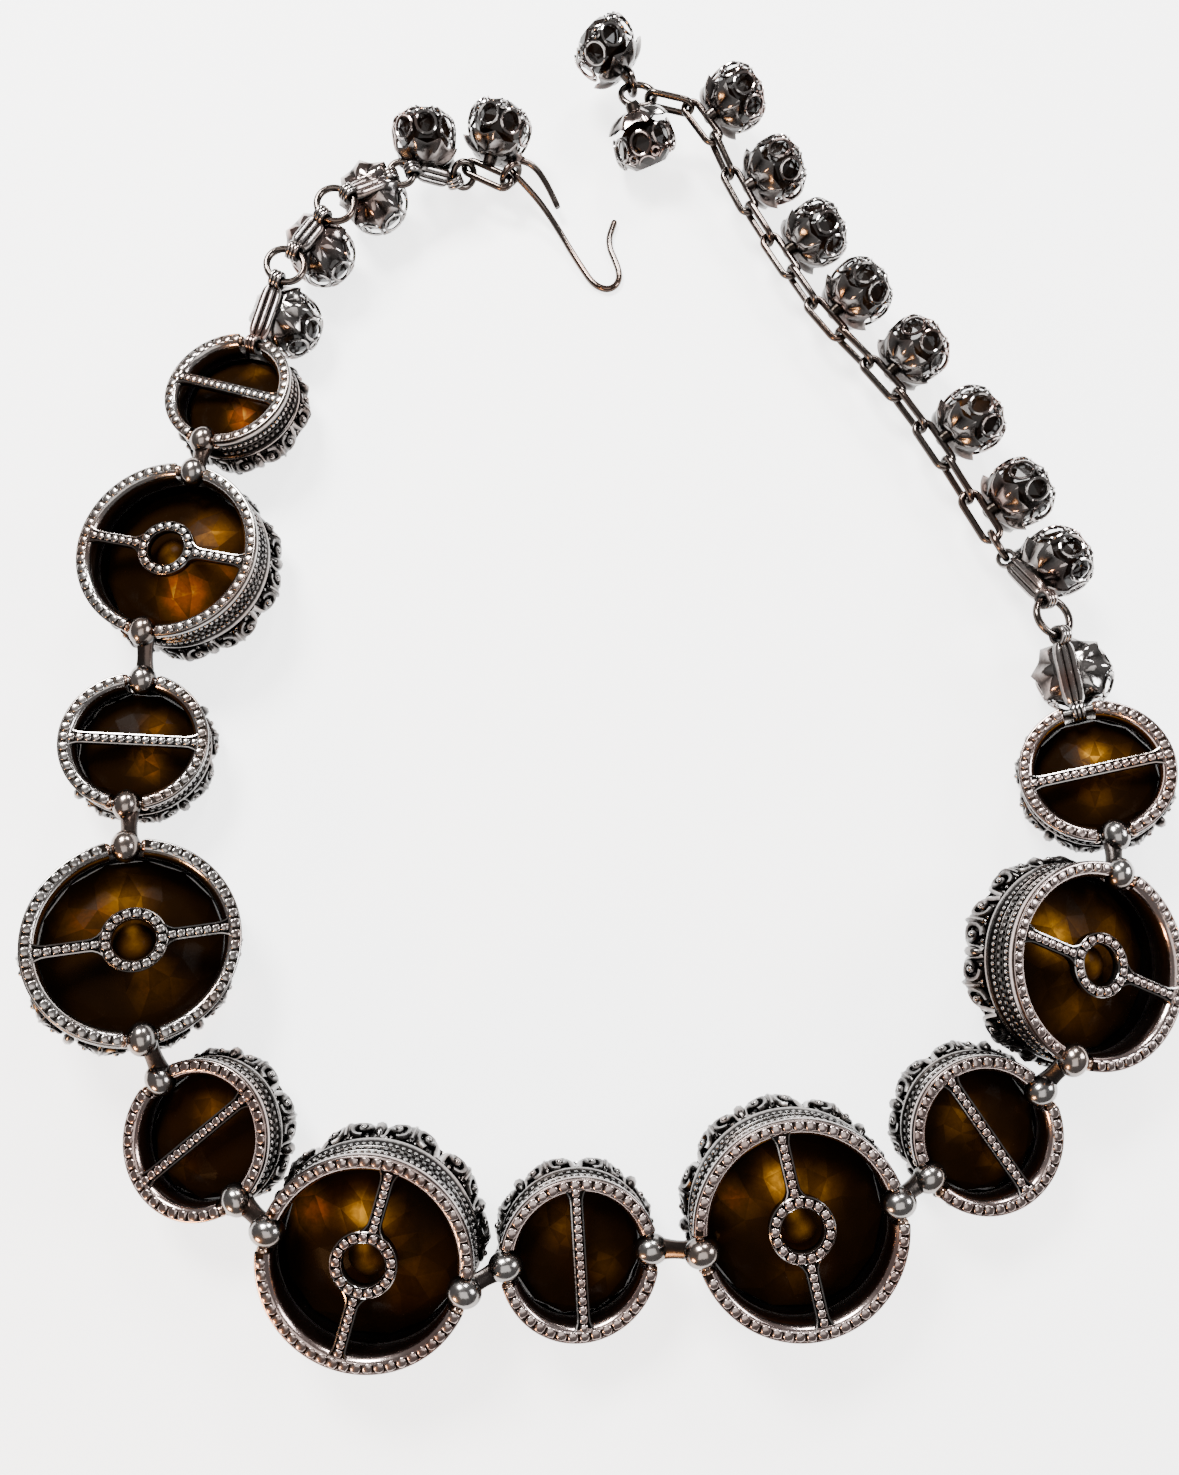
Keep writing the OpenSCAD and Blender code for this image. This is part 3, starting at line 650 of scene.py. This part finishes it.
def cut_facets(levels, sides, fine):
    """The faces of a stone cut between levels of (radius, height)."""
    rings = []
    for i, (r, z) in enumerate(levels):
        turns = [tau * (j + i / 2) / sides for j in range(sides)]
        rings.append([Vector((r * cos(a), r * sin(a), z)) for a in turns])
    cuts = []
    for low, high in zip(rings, rings[1:]):
        for j in range(sides):
            k = (j + 1) % sides
            cuts += [(low[j], high[j], low[k]), (low[k], high[j], high[k])]
    for ring in (rings[0], rings[-1]):
        middle = sum(ring, Vector()) / sides
        cuts += [(middle, ring[j], ring[(j + 1) % sides]) for j in range(sides)]
    return [face for number, cut in enumerate(cuts) for face in split_facet(number, cut, fine)]


def amber_finish(name, deep, olive, gold, orange, spark, gleam):
    """Amber glass seen from behind: nearly black, with painted glows on the facets that emit light of their
    own.
    """
    constants = {"Emission Strength": 0.5, "Roughness": 0.22, "IOR": 1.5, "Specular IOR Level": gleam}
    material, sockets, surface = new_material(name, constants)
    clouds = noise_at(surface, 2.6, 3, 0.6, 0.6) * 0.9 + noise_at(surface, 0.7, 2, 0.6, 1.0) * 0.5 + 0.3
    level = carried(surface, "painted_glow") * clouds
    low = level.rise(0.01, 0.3).between(deep, olive)
    hot = carried(surface, "warm").rise(0.3, 0.8).between(gold, orange)
    lit = level.rise(0.65, 1.15).between(level.rise(0.25, 0.85).between(low, hot), spark)
    # Painted glow: it lightens the base colour and, as emission, gives light of its own.
    (lit * 0.16).into(sockets["Base Color"])
    (lit * level.rise(0.0, 0.6)).into(sockets["Emission Color"])
    return material


def set_stone(name, faces, place, glass, replaced, seed, painted_glows, reach, rounded=False):
    """A stone in its setting, with painted glows. Each facet of a cut stone gets its own share
    of the painted glow, and the reach is the radius that the glows are measured in."""
    mesh = bpy.data.meshes.new(name)
    points = [place @ p * MM for _, face in faces for p in face]
    mesh.from_pydata(points, [], [(3 * i, 3 * i + 1, 3 * i + 2) for i in range(len(faces))])
    mesh.materials.append(glass)
    levels, warmths = [], []
    turn = place.to_euler().z
    for number, face in faces:
        facet = 0.9 if rounded else 0.6 + 0.4 * sin(seed * 12.9 + number * 7.31) ** 2
        for p in face:
            level, warmth = 0.02, 0.0
            for bearing, share, spread, warm, strength in painted_glows:
                a = radians(bearing) - turn
                x, y = p.x - reach * share * cos(a), p.y - reach * share * sin(a)
                part = strength * exp(-(x * x + y * y) / (reach * spread) ** 2)
                level += part
                warmth += part * warm
            levels.append(level * facet)
            warmths.append(warmth / level)
    mesh.attributes.new("painted_glow", "FLOAT", "CORNER").data.foreach_set("value", levels)
    mesh.attributes.new("warm", "FLOAT", "CORNER").data.foreach_set("value", warmths)
    face_outward(mesh, 0.002 * MM)
    if rounded:
        mesh.shade_smooth()
    add_to_choker(name, mesh, replaced)


amber_glass = amber_finish("dark_amber_glass", (0.03, 0.012, 0.003), (0.09, 0.032, 0.004),
                           (0.34, 0.14, 0.008), (0.44, 0.09, 0.004), (1.0, 0.46, 0.03), 0.004)
for number, (station, painted_glows) in enumerate(zip(STATIONS, PAINTED_GLOWS), 1):
    size = station[0]
    r, d = size["r"], size["d"]
    girdle = r - GIRDLE_IN
    seat = cage_seat(station)
    levels = [(0.5 * r, -0.97 * d), (0.7 * r, -0.86 * d), (girdle, -0.6 * d), (girdle, -0.46 * d),
              (0.72 * r, -0.38 * d), (0.48 * r, -0.3 * d), (0.26 * r, -0.25 * d), (0.12 * r, -0.22 * d)]
    facets = cut_facets(levels, 14 if size is LARGE else 12, 4)
    set_stone(f"main_stone_{number}", facets, seat, amber_glass, [f"stone_{number}"], number,
              painted_glows, girdle)
    if size["ringed"]:
        dome = [(CULET_R * cos(a), -2.35 + 1.1 * sin(a)) for a in [pi / 2 * i / 7 for i in range(7)]]
        culet = cut_facets([(CULET_R, -2.9)] + dome + [(0.15, -1.25)], 20, 1)
        bearing = painted_glows[0][0]
        # The culet's painted glows: a soft glow and a small painted highlight that emit light.
        set_stone(f"culet_{number}", culet, seat, amber_glass, (), number,
                  [(bearing + 180, 0.05, 0.14, 0.1, 0.5), (bearing, 0.14, 0.08, 0.4, 0.6)], girdle, True)

# Hinge clips. A flat strip of dark metal joins each cage to the next. Its ends are rolled over
# the pins and finished as polished balls, which sit in the notches of the rims.
BALL_R = 1.45
BALL_STRETCH = 1.18
STRIP_W = 2.0
STRIP_IN = 1.0


def pin_end(index, side):
    """The middle of a cage's pin and the cage's turn: side is 1 towards the next cage, or -1."""
    size, _, _, heading, lean, lean_along = STATIONS[index]
    middle = cage_seat(STATIONS[index]) @ Vector((side * (size["r"] - PIN_IN), 0, -PIN_DROP))
    return middle, (lean, lean_along, heading)


def along_run(start, run):
    """A place at the start of a run, with its own x along it."""
    return set_down(start, (0, -degrees(asin(run.z / run.length)), degrees(atan2(run.y, run.x))))


polished_metal = metal_finish("polished_ball", (0.3, 0.285, 0.275), (0.02, 0.017, 0.015),
                              (0.27, 0.21, 0.18), (0.16, 0.26), (0.1, 1.05), 0.15)
strip_metal = metal_finish("dark_strip", (0.05, 0.042, 0.038), (0.014, 0.011, 0.01),
                           (0.08, 0.055, 0.045), (0.24, 0.45))
for number in range(1, len(STATIONS)):
    ends = [pin_end(number - 1, 1), pin_end(number, -1)]
    start = ends[0][0]
    run = ends[1][0] - start
    work = Metalwork()
    for (place, turn), side in zip(ends, (1, -1)):
        stretch = set_down((side * 0.15, 0, 0)) @ Matrix.Diagonal((BALL_STRETCH, 1, 1, 1))
        work.ball(set_down(place, turn) @ stretch, BALL_R, 32, 0.95)
    rings = []
    for t in [i / 12 for i in range(13)]:
        w = STRIP_W / 2 * (1 - 0.22 * sin(pi * t))
        x = STRIP_IN - 0.3 + (run.length - STRIP_IN - STRIP_IN + 0.6) * t
        rings.append([(x, -w + 0.12, -0.2), (x, 0, -0.16), (x, w - 0.12, -0.2), (x, w, -0.34), (x, w, -0.86),
                      (x, w - 0.12, -1.0), (x, -w + 0.12, -1.0), (x, -w, -0.86), (x, -w, -0.34)])
    work.metal = 1
    work.skin(rings, [[1, 0.8, 1, 0.9, 0.4, 0.3, 0.3, 0.4, 0.9]] * 13, tube=True, caps=True,
              place=along_run(start, run))
    make_piece(f"hinge_clip_ball_strip_{number}", work, [polished_metal, strip_metal],
               f"hinge_clip_{number}", 0.85)

# Rhinestone cups. A small cup of stamped plate holds each round stone of the chains: a fluted
# skirt gathered at its base, arched windows above it, and claws with a round hole near each
# tip, bent in over the stone. One cup is made here and struck sixteen times.
CUP_STONE_R = 3.4
CUP_BASE_R = 1.55
SKIRT_R = 3.5
FLUTES = 8
PLATE_T = 0.22

# A radius so small that a lathed end is closed
AXIS = 0.0001

# The outside of the cup's wall from its foot to its claws: (radius, height)
CUP_WALL = [(2.8, 0.9), (3.1, 1.5), (3.5, 2.2), (3.78, 3.0), (3.92, 3.9), (3.9, 4.8), (3.74, 5.45),
            (3.42, 6.0), (3.05, 6.38)]

# A window, a claw's hole and a gap by a claw: [share of a flute, height, half width, half height]
OPENINGS = [[0.5, 3.75, 1.25, 1.35], [0, 5.2, 0.5, 0.48], [0.5, 6.5, 1.12, 1.12]]


def loose_body(name, work):
    """Metalwork as an object in millimetres, to be cut."""
    mesh = bpy.data.meshes.new(name)
    mesh.from_pydata([tuple(p) for p in work.points], [], work.faces)
    face_outward(mesh)
    return add_object(name, mesh)


def pierced_wall(cuts):
    """The cup's wall with its openings cut through, standing on the cup's base."""
    wall, knives = Metalwork(), Metalwork()
    inner = [(r - PLATE_T, z - 0.05, 0) for r, z in reversed(CUP_WALL)]
    wall.lathe([(r, z, 0) for r, z in CUP_WALL] + inner, 96)
    for turn, z, wide, tall in cuts:
        rings = [[(x, wide * cos(a), z + tall * sin(a)) for a in around(20)] for x in (2.0, 5.5)]
        knives.skin(rings, [0, 0], tube=True, caps=True, place=spin(turn))
    body, knife = loose_body("cup_wall", wall), loose_body("cup_knives", knives)
    cut = body.modifiers.new("openings", "BOOLEAN")
    cut.operation, cut.object, cut.solver = "DIFFERENCE", knife, "EXACT"
    bpy.context.view_layer.update()
    pierced = bpy.data.meshes.new_from_object(body.evaluated_get(bpy.context.evaluated_depsgraph_get()))
    work = Metalwork()
    work.points = [vertex.co.copy() for vertex in pierced.vertices]
    work.rubs = [0.85 if p.xy.length > 3.6 or p.z > 5.5 else 0.2 for p in work.points]
    work.faces = [tuple(polygon.vertices) for polygon in pierced.polygons]
    work.metals = [0] * len(work.faces)
    bpy.data.objects.remove(body)
    bpy.data.objects.remove(knife)
    return work


def wall_point(turn, y, z):
    """A point just off the cup's wall, y across the middle of a turn."""
    above = [span for span in zip(CUP_WALL, CUP_WALL[1:]) if span[1][1] >= z] or [CUP_WALL[-2:]]
    (r1, z1), (r2, z2) = above[0]
    radius = r1 + (r2 - r1) * min(max((z - z1) / (z2 - z1), 0), 1) + 0.03
    x = sqrt(max(radius ** 2 - y * y, 0.01))
    return Vector((x * cos(turn) - y * sin(turn), x * sin(turn) + y * cos(turn), min(z, 6.5)))


def opening_rims(work, cuts):
    """A fine wire rim round each window and hole, and along the open gap between two claws."""
    low, high = asin(-0.4), pi - asin(-0.4)
    whole_rim = (around(20), 0.19, 6)
    open_rim = ([low - (low + tau - high) * j / 12 for j in range(13)], 0.15, 5)
    for turn, z, wide, tall in cuts:
        closed = z < CUP_WALL[-1][1]
        turns, radius, sides = whole_rim if closed else open_rim
        rim = [wall_point(turn, wide * cos(a), z + tall * sin(a)) for a in turns]
        work.wire(rim, radius, sides, loop=closed, rub=1.15)


def skirt(work):
    """The fluted skirt with pointed tips, gathered into creases at the base."""
    steps, rows = FLUTES * 10, 9
    rings, rubs = [], []
    for i in range(rows):
        t = i / (rows - 1)
        ring, rub = [], []
        for a in around(steps):
            off = abs((a * FLUTES / tau) % 1 - 0.5) * 2
            tip = off ** 1.6
            crease = (1 - off) ** 3
            reach = CUP_BASE_R + (SKIRT_R + 0.72 * tip - CUP_BASE_R) * t ** 0.8
            reach -= 0.45 * crease * sin(pi * min(1, t * 1.15)) ** 0.8
            z = 0.05 + 1.3 * t ** 1.7 + 0.35 * tip * t ** 4 - 0.08 * crease
            ring.append((reach * cos(a), reach * sin(a), z))
            rub.append(0.35 + 0.6 * off ** 0.7 if 0 < i < rows - 1 else 0.9)
        rings.append(ring)
        rubs.append(rub)
    inner = [[(x * 0.9, y * 0.9, z + 0.12) for x, y, z in ring] for ring in reversed(rings)]
    work.skin(rings + inner, rubs + [[0.2] * steps] * rows, tube=True)
    work.lathe([(AXIS, -0.02, 0.7), (1.2, -0.02, 0.7), (1.62, 0.08, 0.9), (1.5, 0.3, 0.4),
                (AXIS, 0.35, 0.3)], 24, tube=False)


cell = tau / FLUTES
cup_cuts = [(cell * i + cell * share, *opening) for i in range(FLUTES) for share, *opening in OPENINGS]
cup_work = pierced_wall(cup_cuts)
opening_rims(cup_work, cup_cuts)
skirt(cup_work)
cup_metal = metal_finish("stamped_cup_plate", (0.36, 0.337, 0.325), (0.014, 0.011, 0.01),
                         (0.31, 0.2, 0.17), (0.08, 0.22), (0.2, 1.0), 0.2)
cup_stone = cut_facets([(1.4, 1.35), (2.75, 2.4), (CUP_STONE_R, 3.9), (CUP_STONE_R, 5.2), (3.0, 5.95),
                        (2.1, 6.75)], 10, 1)
smoky_glass = amber_finish("smoky_amber_glass", (0.02, 0.009, 0.004), (0.05, 0.02, 0.006),
                           (0.4, 0.2, 0.04), (0.4, 0.1, 0.02), (0.6, 0.3, 0.05), 0.2)


def faced(azimuth, elevation):
    """The direction of an azimuth and an elevation."""
    a, e = radians(azimuth), radians(elevation)
    return Vector((cos(e) * cos(a), cos(e) * sin(a), sin(e)))


def facing(place, azimuth, elevation):
    """A place whose own z faces an azimuth and an elevation."""
    return set_down(place, (0, 90 - elevation, azimuth))


def strike_cup(name, aim, turn, carrier, stones):
    """A cup and its stone. Their aim is a place, an azimuth and an elevation."""
    stand = facing(*aim) @ spin(radians(turn))
    # Painted glows on the cup's stone, which emit light of their own.
    painted_glows = [(aim[1] + 40, 0.6, 0.5, 0.6, 0.6), (aim[1] - 100, 0.6, 0.4, 0.2, 0.4)]
    make_piece(f"cup_{name}", cup_work, [cup_metal], carrier, 0.62, stand)
    set_stone(f"cup_stone_{name}", cup_stone, stand, smoky_glass, [stones], turn + 3.0,
              painted_glows, CUP_STONE_R)


# Ribbed straps. Six straps of stamped metal, each with three ribs, are folded round the pins
# and rings that they join, and carry a cup soldered to their front.
EYE_R = 1.15
EYE_BORE_R = 0.7
EYE_W = 1.3
EYE_RIB_PITCH = 0.43
STRAP_IN = 0.85

# The rings that the straps hang in: [x, y, z, radius of the wire's centre line, heading, tilt]
RINGS = [
    [-39.2, 41.0, 8.9, 2.2, 66, 10],
    [-33.6, 49.4, 9.3, 2.2, 48, 10],
    [-26.1, 55.7, 7.4, 1.5, 20, 12],
    [-18.7, 58.3, 4.3, 1.5, 40, 60],
    [-12.65, 58.36, 4.2, 1.45, 44, 90],
    [48.7, -4.1, 8.5, 2.2, 105, 20],
    [45.2, 6.4, 4.3, 1.8, 115, 60],
]


def ring_end(index, side):
    """Where a strap or link meets a ring, and the ring's turn."""
    x, y, z, r, heading, tilt = RINGS[index]
    return Vector((x, y, z)) + side * r * faced(heading, 0), (tilt, 0, heading)


# [start, end, roll, cup's azimuth, cup's elevation, how far along the cup sits]
STRAPS = [
    [pin_end(0, -1), ring_end(0, -1), 14, 26, -72, 0.9],
    [ring_end(0, 1), ring_end(1, -1), 14, 63, -76, 0],
    [ring_end(1, 1), ring_end(2, -1), 0, 76, -66, -0.8],
    [ring_end(2, 1), ring_end(3, -1), 80, 95, 14, -0.9],
    [pin_end(10, 1), ring_end(5, -1), 0, 3, -59, 0.8],
    [ring_end(5, 1), ring_end(6, -1), -70, 30, -8, 0],
]

# One half of the ribs, and the whole section: (across, height, rub)
HALF_RIBS = [(0.3, 0.38, 0.8), (0.4, 0.2, 0.05), (0.5, 0.38, 0.8), (0.78, 0.52, 1), (1.08, 0.36, 0.9),
             (1.2, 0.1, 0.8), (1.2, -0.3, 0.4)]
RIB_SECTION = ([(-y, z, rub) for y, z, rub in reversed(HALF_RIBS)] + [(0, 0.56, 1)] + HALF_RIBS
               + [(1.1, -0.43, 0.3), (-1.1, -0.43, 0.3)])


def strap_band(work, span, lie):
    """The band between a strap's eyes, which narrows and sinks towards them."""
    rings = []
    for t in [i / 16 for i in range(17)]:
        x = STRAP_IN + (span - 2 * STRAP_IN) * t
        off = abs(t - 0.5) * 2
        rings.append([(x, y * (1 - 0.32 * off ** 6), z - 0.18 * off ** 8) for y, z, _ in RIB_SECTION])
    work.skin(rings, [[rub for _, _, rub in RIB_SECTION]] * 17, tube=True, caps=True, place=lie)


def strap_eye(work, place, turn):
    """A strap's end, rolled round a pin or a ring, with the three ribs running over it."""
    half = EYE_W / 2
    sleeve = [(EYE_BORE_R, -half, 0.3), (EYE_R - 0.1, -half, 0.7)]
    for c in (-EYE_RIB_PITCH, 0, EYE_RIB_PITCH):
        sleeve += [(EYE_R - 0.04, c - 0.14, 0.9), (EYE_R, c, 1), (EYE_R - 0.04, c + 0.14, 0.9)]
        if c < EYE_RIB_PITCH:
            sleeve.append((EYE_R - 0.22, c + EYE_RIB_PITCH / 2, 0.05))
    sleeve += [(EYE_R - 0.1, half, 0.7), (EYE_BORE_R, half, 0.3)]
    work.lathe(sleeve, 28, place=set_down(place, turn) @ spin(pi / 2, "X"))


strap_metal = metal_finish("stamped_strap_plate", (0.37, 0.34, 0.325), (0.012, 0.01, 0.009),
                           (0.31, 0.21, 0.18), (0.14, 0.34), (0.25, 1.0))
for number, (start, end, roll, azimuth, elevation, along) in enumerate(STRAPS, 1):
    run = end[0] - start[0]
    work = Metalwork()
    strap_band(work, run.length, along_run(start[0], run) @ spin(radians(roll), "X"))
    strap_eye(work, *start)
    strap_eye(work, *end)
    cup_place = start[0] + run * (0.5 + along / run.length) + 0.7 * faced(azimuth, elevation)
    aim = (cup_place, azimuth, elevation)
    post = [(AXIS, -0.5, 0.3), (1.25, -0.5, 0.4), (1.25, 0.0, 0.6), (1.1, 0.2, 0.6)]
    work.lathe(post, 20, tube=False, place=facing(*aim))
    strap = f"strap_{number}"
    make_piece(f"ribbed_{strap}", work, [strap_metal], strap, 0.5)
    strike_cup(f"on_{strap}", aim, 9 + 17 * number, strap, "strap_stones")

# Jump rings. Round rings of wire, browned like a gun's barrel, link the straps. Each is bent
# from one short length and closed end to end.
WIRE_R = 0.42
wire_metal = metal_finish("browned_wire", (0.135, 0.112, 0.1), (0.014, 0.011, 0.009),
                          (0.13, 0.085, 0.066), (0.12, 0.26), (0.1, 1.0), 0.25)


def bend_wire(work, lie, route):
    """A closed shape of wire, flat in a place's own x and y."""
    up = lie.to_3x3() @ Vector((0, 0, 1))
    work.wire([lie @ Vector((x, y, 0)) for x, y in route], WIRE_R, 10, loop=True, rub=0.85, up=up)


def wire_ring(work, place, turn, r):
    """A closed ring of wire."""
    bend_wire(work, set_down(place, turn), [(r * cos(a), r * sin(a)) for a in around(48)])


def make_wire_piece(name, work, replaced):
    """Turns wire that lies in its place into a piece."""
    make_piece(name, work, [wire_metal], replaced, 0.8)


for number, (x, y, z, r, heading, tilt) in enumerate(RINGS, 1):
    work = Metalwork()
    wire_ring(work, (x, y, z), (tilt, 0, heading), r)
    make_wire_piece(f"wire_ring_{number}", work, f"jump_ring_{number}")

# Hook link. A plain oval link of the same wire hangs in the last ring of the straps, with a
# cup soldered to its side.
LINK_W = 2.9
CUP_LINK = 5.7
PLAIN_LINK = 5.1
LINK_END_R = LINK_W / 2 - WIRE_R


def end_x(inner):
    """From a link's middle to the middle of its round end."""
    return (inner + 2 * WIRE_R) / 2 - LINK_END_R


def oval_link(work, lie, inner):
    """A cable link: two straight sides and two round ends."""
    x = end_x(inner)
    turns = [pi * (i / 12 - 0.5) for i in range(13)]
    half = [(x + LINK_END_R * cos(a), LINK_END_R * sin(a)) for a in turns]
    half += [(s, LINK_END_R) for s in (x * 0.5, 0, -x * 0.5)]
    bend_wire(work, lie, half + [(-p, -q) for p, q in half])


def solder_cup(work, name, aim, turn, carrier, stones):
    """A cup on a short post of solder."""
    post = [(AXIS, -1, 0.4), (0.7, -1, 0.5), (0.9, -0.6, 0.7), (0.9, 0.0, 0.6), (1.1, 0.3, 0.4)]
    work.lathe(post, 18, tube=False, place=facing(*aim))
    strike_cup(name, aim, turn, carrier, stones)


place = Vector((-15.65, 58.3, 4.3))
cup_place = place + (LINK_W / 2 + 0.7) * faced(80, 12)
work = Metalwork()
oval_link(work, set_down(place, (0, 0, -28)), CUP_LINK)
solder_cup(work, "on_hook_link", (cup_place, 72, 16), 12, "hook_link", "strap_stones")
make_wire_piece("hook_link_wire", work, "hook_link")

# Hook. It is one length of the same wire, cut blunt at both ends and bent to a closed eye
# with a doubled return, a straight shank and an open bend.
HOOK_ROUTE = [
    [-6.6, 55.3, 1.9], [-7.4, 57.0, 2.3], [-8.3, 58.6, 2.8], [-9.3, 59.9, 3.3], [-10.4, 60.6, 3.7],
    [-11.6, 60.7, 4.0], [-12.5, 60.1, 4.2], [-12.6, 59.2, 4.2], [-11.9, 58.2, 4.1], [-10.7, 57.2, 3.5],
    [-9.2, 55.9, 2.6], [-7.8, 54.3, 1.8], [-6.3, 52.1, 1.1], [-4.9, 49.7, 0.7], [-3.5, 47.3, 0.5],
    [-2.4, 45.5, 0.45], [-1.4, 44.5, 0.45], [-0.2, 44.1, 0.45], [0.8, 44.6, 0.45], [1.3, 45.7, 0.45],
    [1.2, 47.1, 0.45], [0.7, 48.7, 0.45], [0.2, 50.2, 0.45], [0.1, 51.8, 0.45], [0.4, 53.1, 0.45],
    [0.8, 54.4, 0.45],
]


def smooth_route(route, steps):
    """A curve through every point of a route."""
    route = [Vector(p) for p in route]
    full = []
    for i in range(len(route) - 1):
        a, b, c, d = route[max(i - 1, 0)], route[i], route[i + 1], route[min(i + 2, len(route) - 1)]
        square, cube = 2 * a - 5 * b + 4 * c - d, 3 * b - a - 3 * c + d
        for t in [k / steps for k in range(steps)]:
            full.append(0.5 * (2 * b + (c - a) * t + square * t ** 2 + cube * t ** 3))
    return full + [route[-1]]


hook_line = smooth_route(HOOK_ROUTE, 4)
cut_end = WIRE_R * 0.82
work = Metalwork()
work.wire(hook_line, [cut_end] + [WIRE_R] * (len(hook_line) - 2) + [cut_end], 12, rub=0.85)
make_wire_piece("hook_wire", work, "hook")

# Extension chain. Fourteen oval links of wire let the wearer choose the size: every other one
# lies flat with a cup soldered to its side. A ring and two more cups finish the far end.
LINK_GAP = 0.12
CUP_SIDE = -84
END_RING_R = 2.2
END_RING_TILT = 12
TAIL_RING_R = 1.35
TAIL_HEADING = 110
CHAIN_NODES = ("extension_chain", "extension_stones")

# [heading, climb, roll]
LINKS = [
    [116, 0, -15], [116, 0, 90], [118, 0, 0], [121, 0, 90], [126, 0, 0], [129, 0, 90], [125, 0, 0],
    [119, 0, 90], [118, 0, 0], [118, 2, 90], [116, 6, 0], [114, 10, 90], [124, 6, 0], [164, 0, 94],
]

work = Metalwork()
place = ring_end(6, 1)[0] + (CUP_LINK / 2 - WIRE_R - LINK_GAP) * faced(*LINKS[0][:2])
for n, (heading, climb, roll) in enumerate(LINKS):
    inner, inner_before = (PLAIN_LINK, CUP_LINK) if n % 2 else (CUP_LINK, PLAIN_LINK)
    if n:
        heading_before, climb_before, _ = LINKS[n - 1]
        hang = faced(heading, climb_before) if n % 2 else faced(heading_before, climb)
        place = (place + end_x(inner_before) * faced(heading_before, climb_before)
                 + (2 * LINK_END_R - 2 * WIRE_R - LINK_GAP) * hang + end_x(inner) * faced(heading, climb))
    oval_link(work, set_down(place, (roll, -climb, heading)), inner)
    if n % 2 == 0:
        azimuth = heading + CUP_SIDE
        cup_place = place + (LINK_W / 2 + 0.4) * faced(azimuth, 0)
        solder_cup(work, f"on_link_{n // 2 + 1}", (cup_place, azimuth, 0), 11 * n, *CHAIN_NODES)

last_heading = LINKS[-1][0]
tilt = radians(END_RING_TILT)
end_place = place + (PLAIN_LINK / 2 - WIRE_R - LINK_GAP + END_RING_R) * faced(last_heading, 0)
end_side = spin(radians(last_heading)) @ Vector((0, cos(tilt), sin(tilt)))
end_cup_place = end_place + (END_RING_R + 0.4) * end_side + 0.3 * faced(-62, -40)
tail_reach = END_RING_R + TAIL_RING_R - 2 * WIRE_R - LINK_GAP
tail_place = end_place + tail_reach * faced(TAIL_HEADING, -9)
tail_cup_place = tail_place + (TAIL_RING_R + 0.55) * faced(TAIL_HEADING, -4)
wire_ring(work, end_place, (END_RING_TILT, 0, last_heading), END_RING_R)
solder_cup(work, "on_end_ring", (end_cup_place, -62, -40), 5, *CHAIN_NODES)
wire_ring(work, tail_place, (90, 0, TAIL_HEADING), TAIL_RING_R)
solder_cup(work, "on_tail_ring", (tail_cup_place, 138, 22), 14, *CHAIN_NODES)
make_wire_piece("cable_chain_wire", work, "extension_chain")

# Table and lights. A plain white table stands in a studio with two soft windows behind it, a
# ceiling panel, a fill from the right, and a small warm lamp low at the left, which leaves gold
# spots in the metal. Their places and sizes are in metres.
TABLE_HALF = 1.5
table_white = new_material("white_table", {"Base Color": (0.55, 0.55, 0.55, 1), "Roughness": 0.7,
                                           "Emission Color": (1, 1, 1, 1), "Emission Strength": 3.2})[0]
table_mesh = bpy.data.meshes.new("table")
corners = [(x * TABLE_HALF, y * TABLE_HALF, 0) for x, y in ((-1, -1), (1, -1), (1, 1), (-1, 1))]
table_mesh.from_pydata(corners, [], [(0, 1, 2, 3)])
table_mesh.materials.append(table_white)
add_object("table", table_mesh)

world = bpy.data.worlds.new("studio")
bpy.context.scene.world = world
world.use_nodes = True
room = world.node_tree.nodes["Background"].inputs
room["Color"].default_value = (0.84, 0.82, 0.82, 1)
room["Strength"].default_value = 0.32

# (name, place, size, power, tint)
LAMPS = [
    ("soft_window", (-0.14, 0.22, 0.32), 0.13, 5.5, (1, 0.99, 0.97)),
    ("second_window", (0.1, 0.3, 0.26), 0.08, 1.6, (1, 1, 1)),
    ("ceiling_panel", (0.02, -0.14, 0.38), 0.3, 0.6, (1, 0.98, 0.96)),
    ("right_fill", (0.32, 0.02, 0.22), 0.12, 1.4, (0.95, 0.97, 1)),
    ("warm_lamp", (-0.2, -0.26, 0.12), 0.06, 1.2, (1, 0.5, 0.2)),
]
for name, place, size, power, tint in LAMPS:
    lamp = bpy.data.lights.new(name, "AREA")
    lamp.size, lamp.energy, lamp.color = size, power, tint
    holder = add_object(name, lamp)
    holder.location = place
    holder.rotation_euler = (-Vector(place)).to_track_quat("-Z", "Y").to_euler()
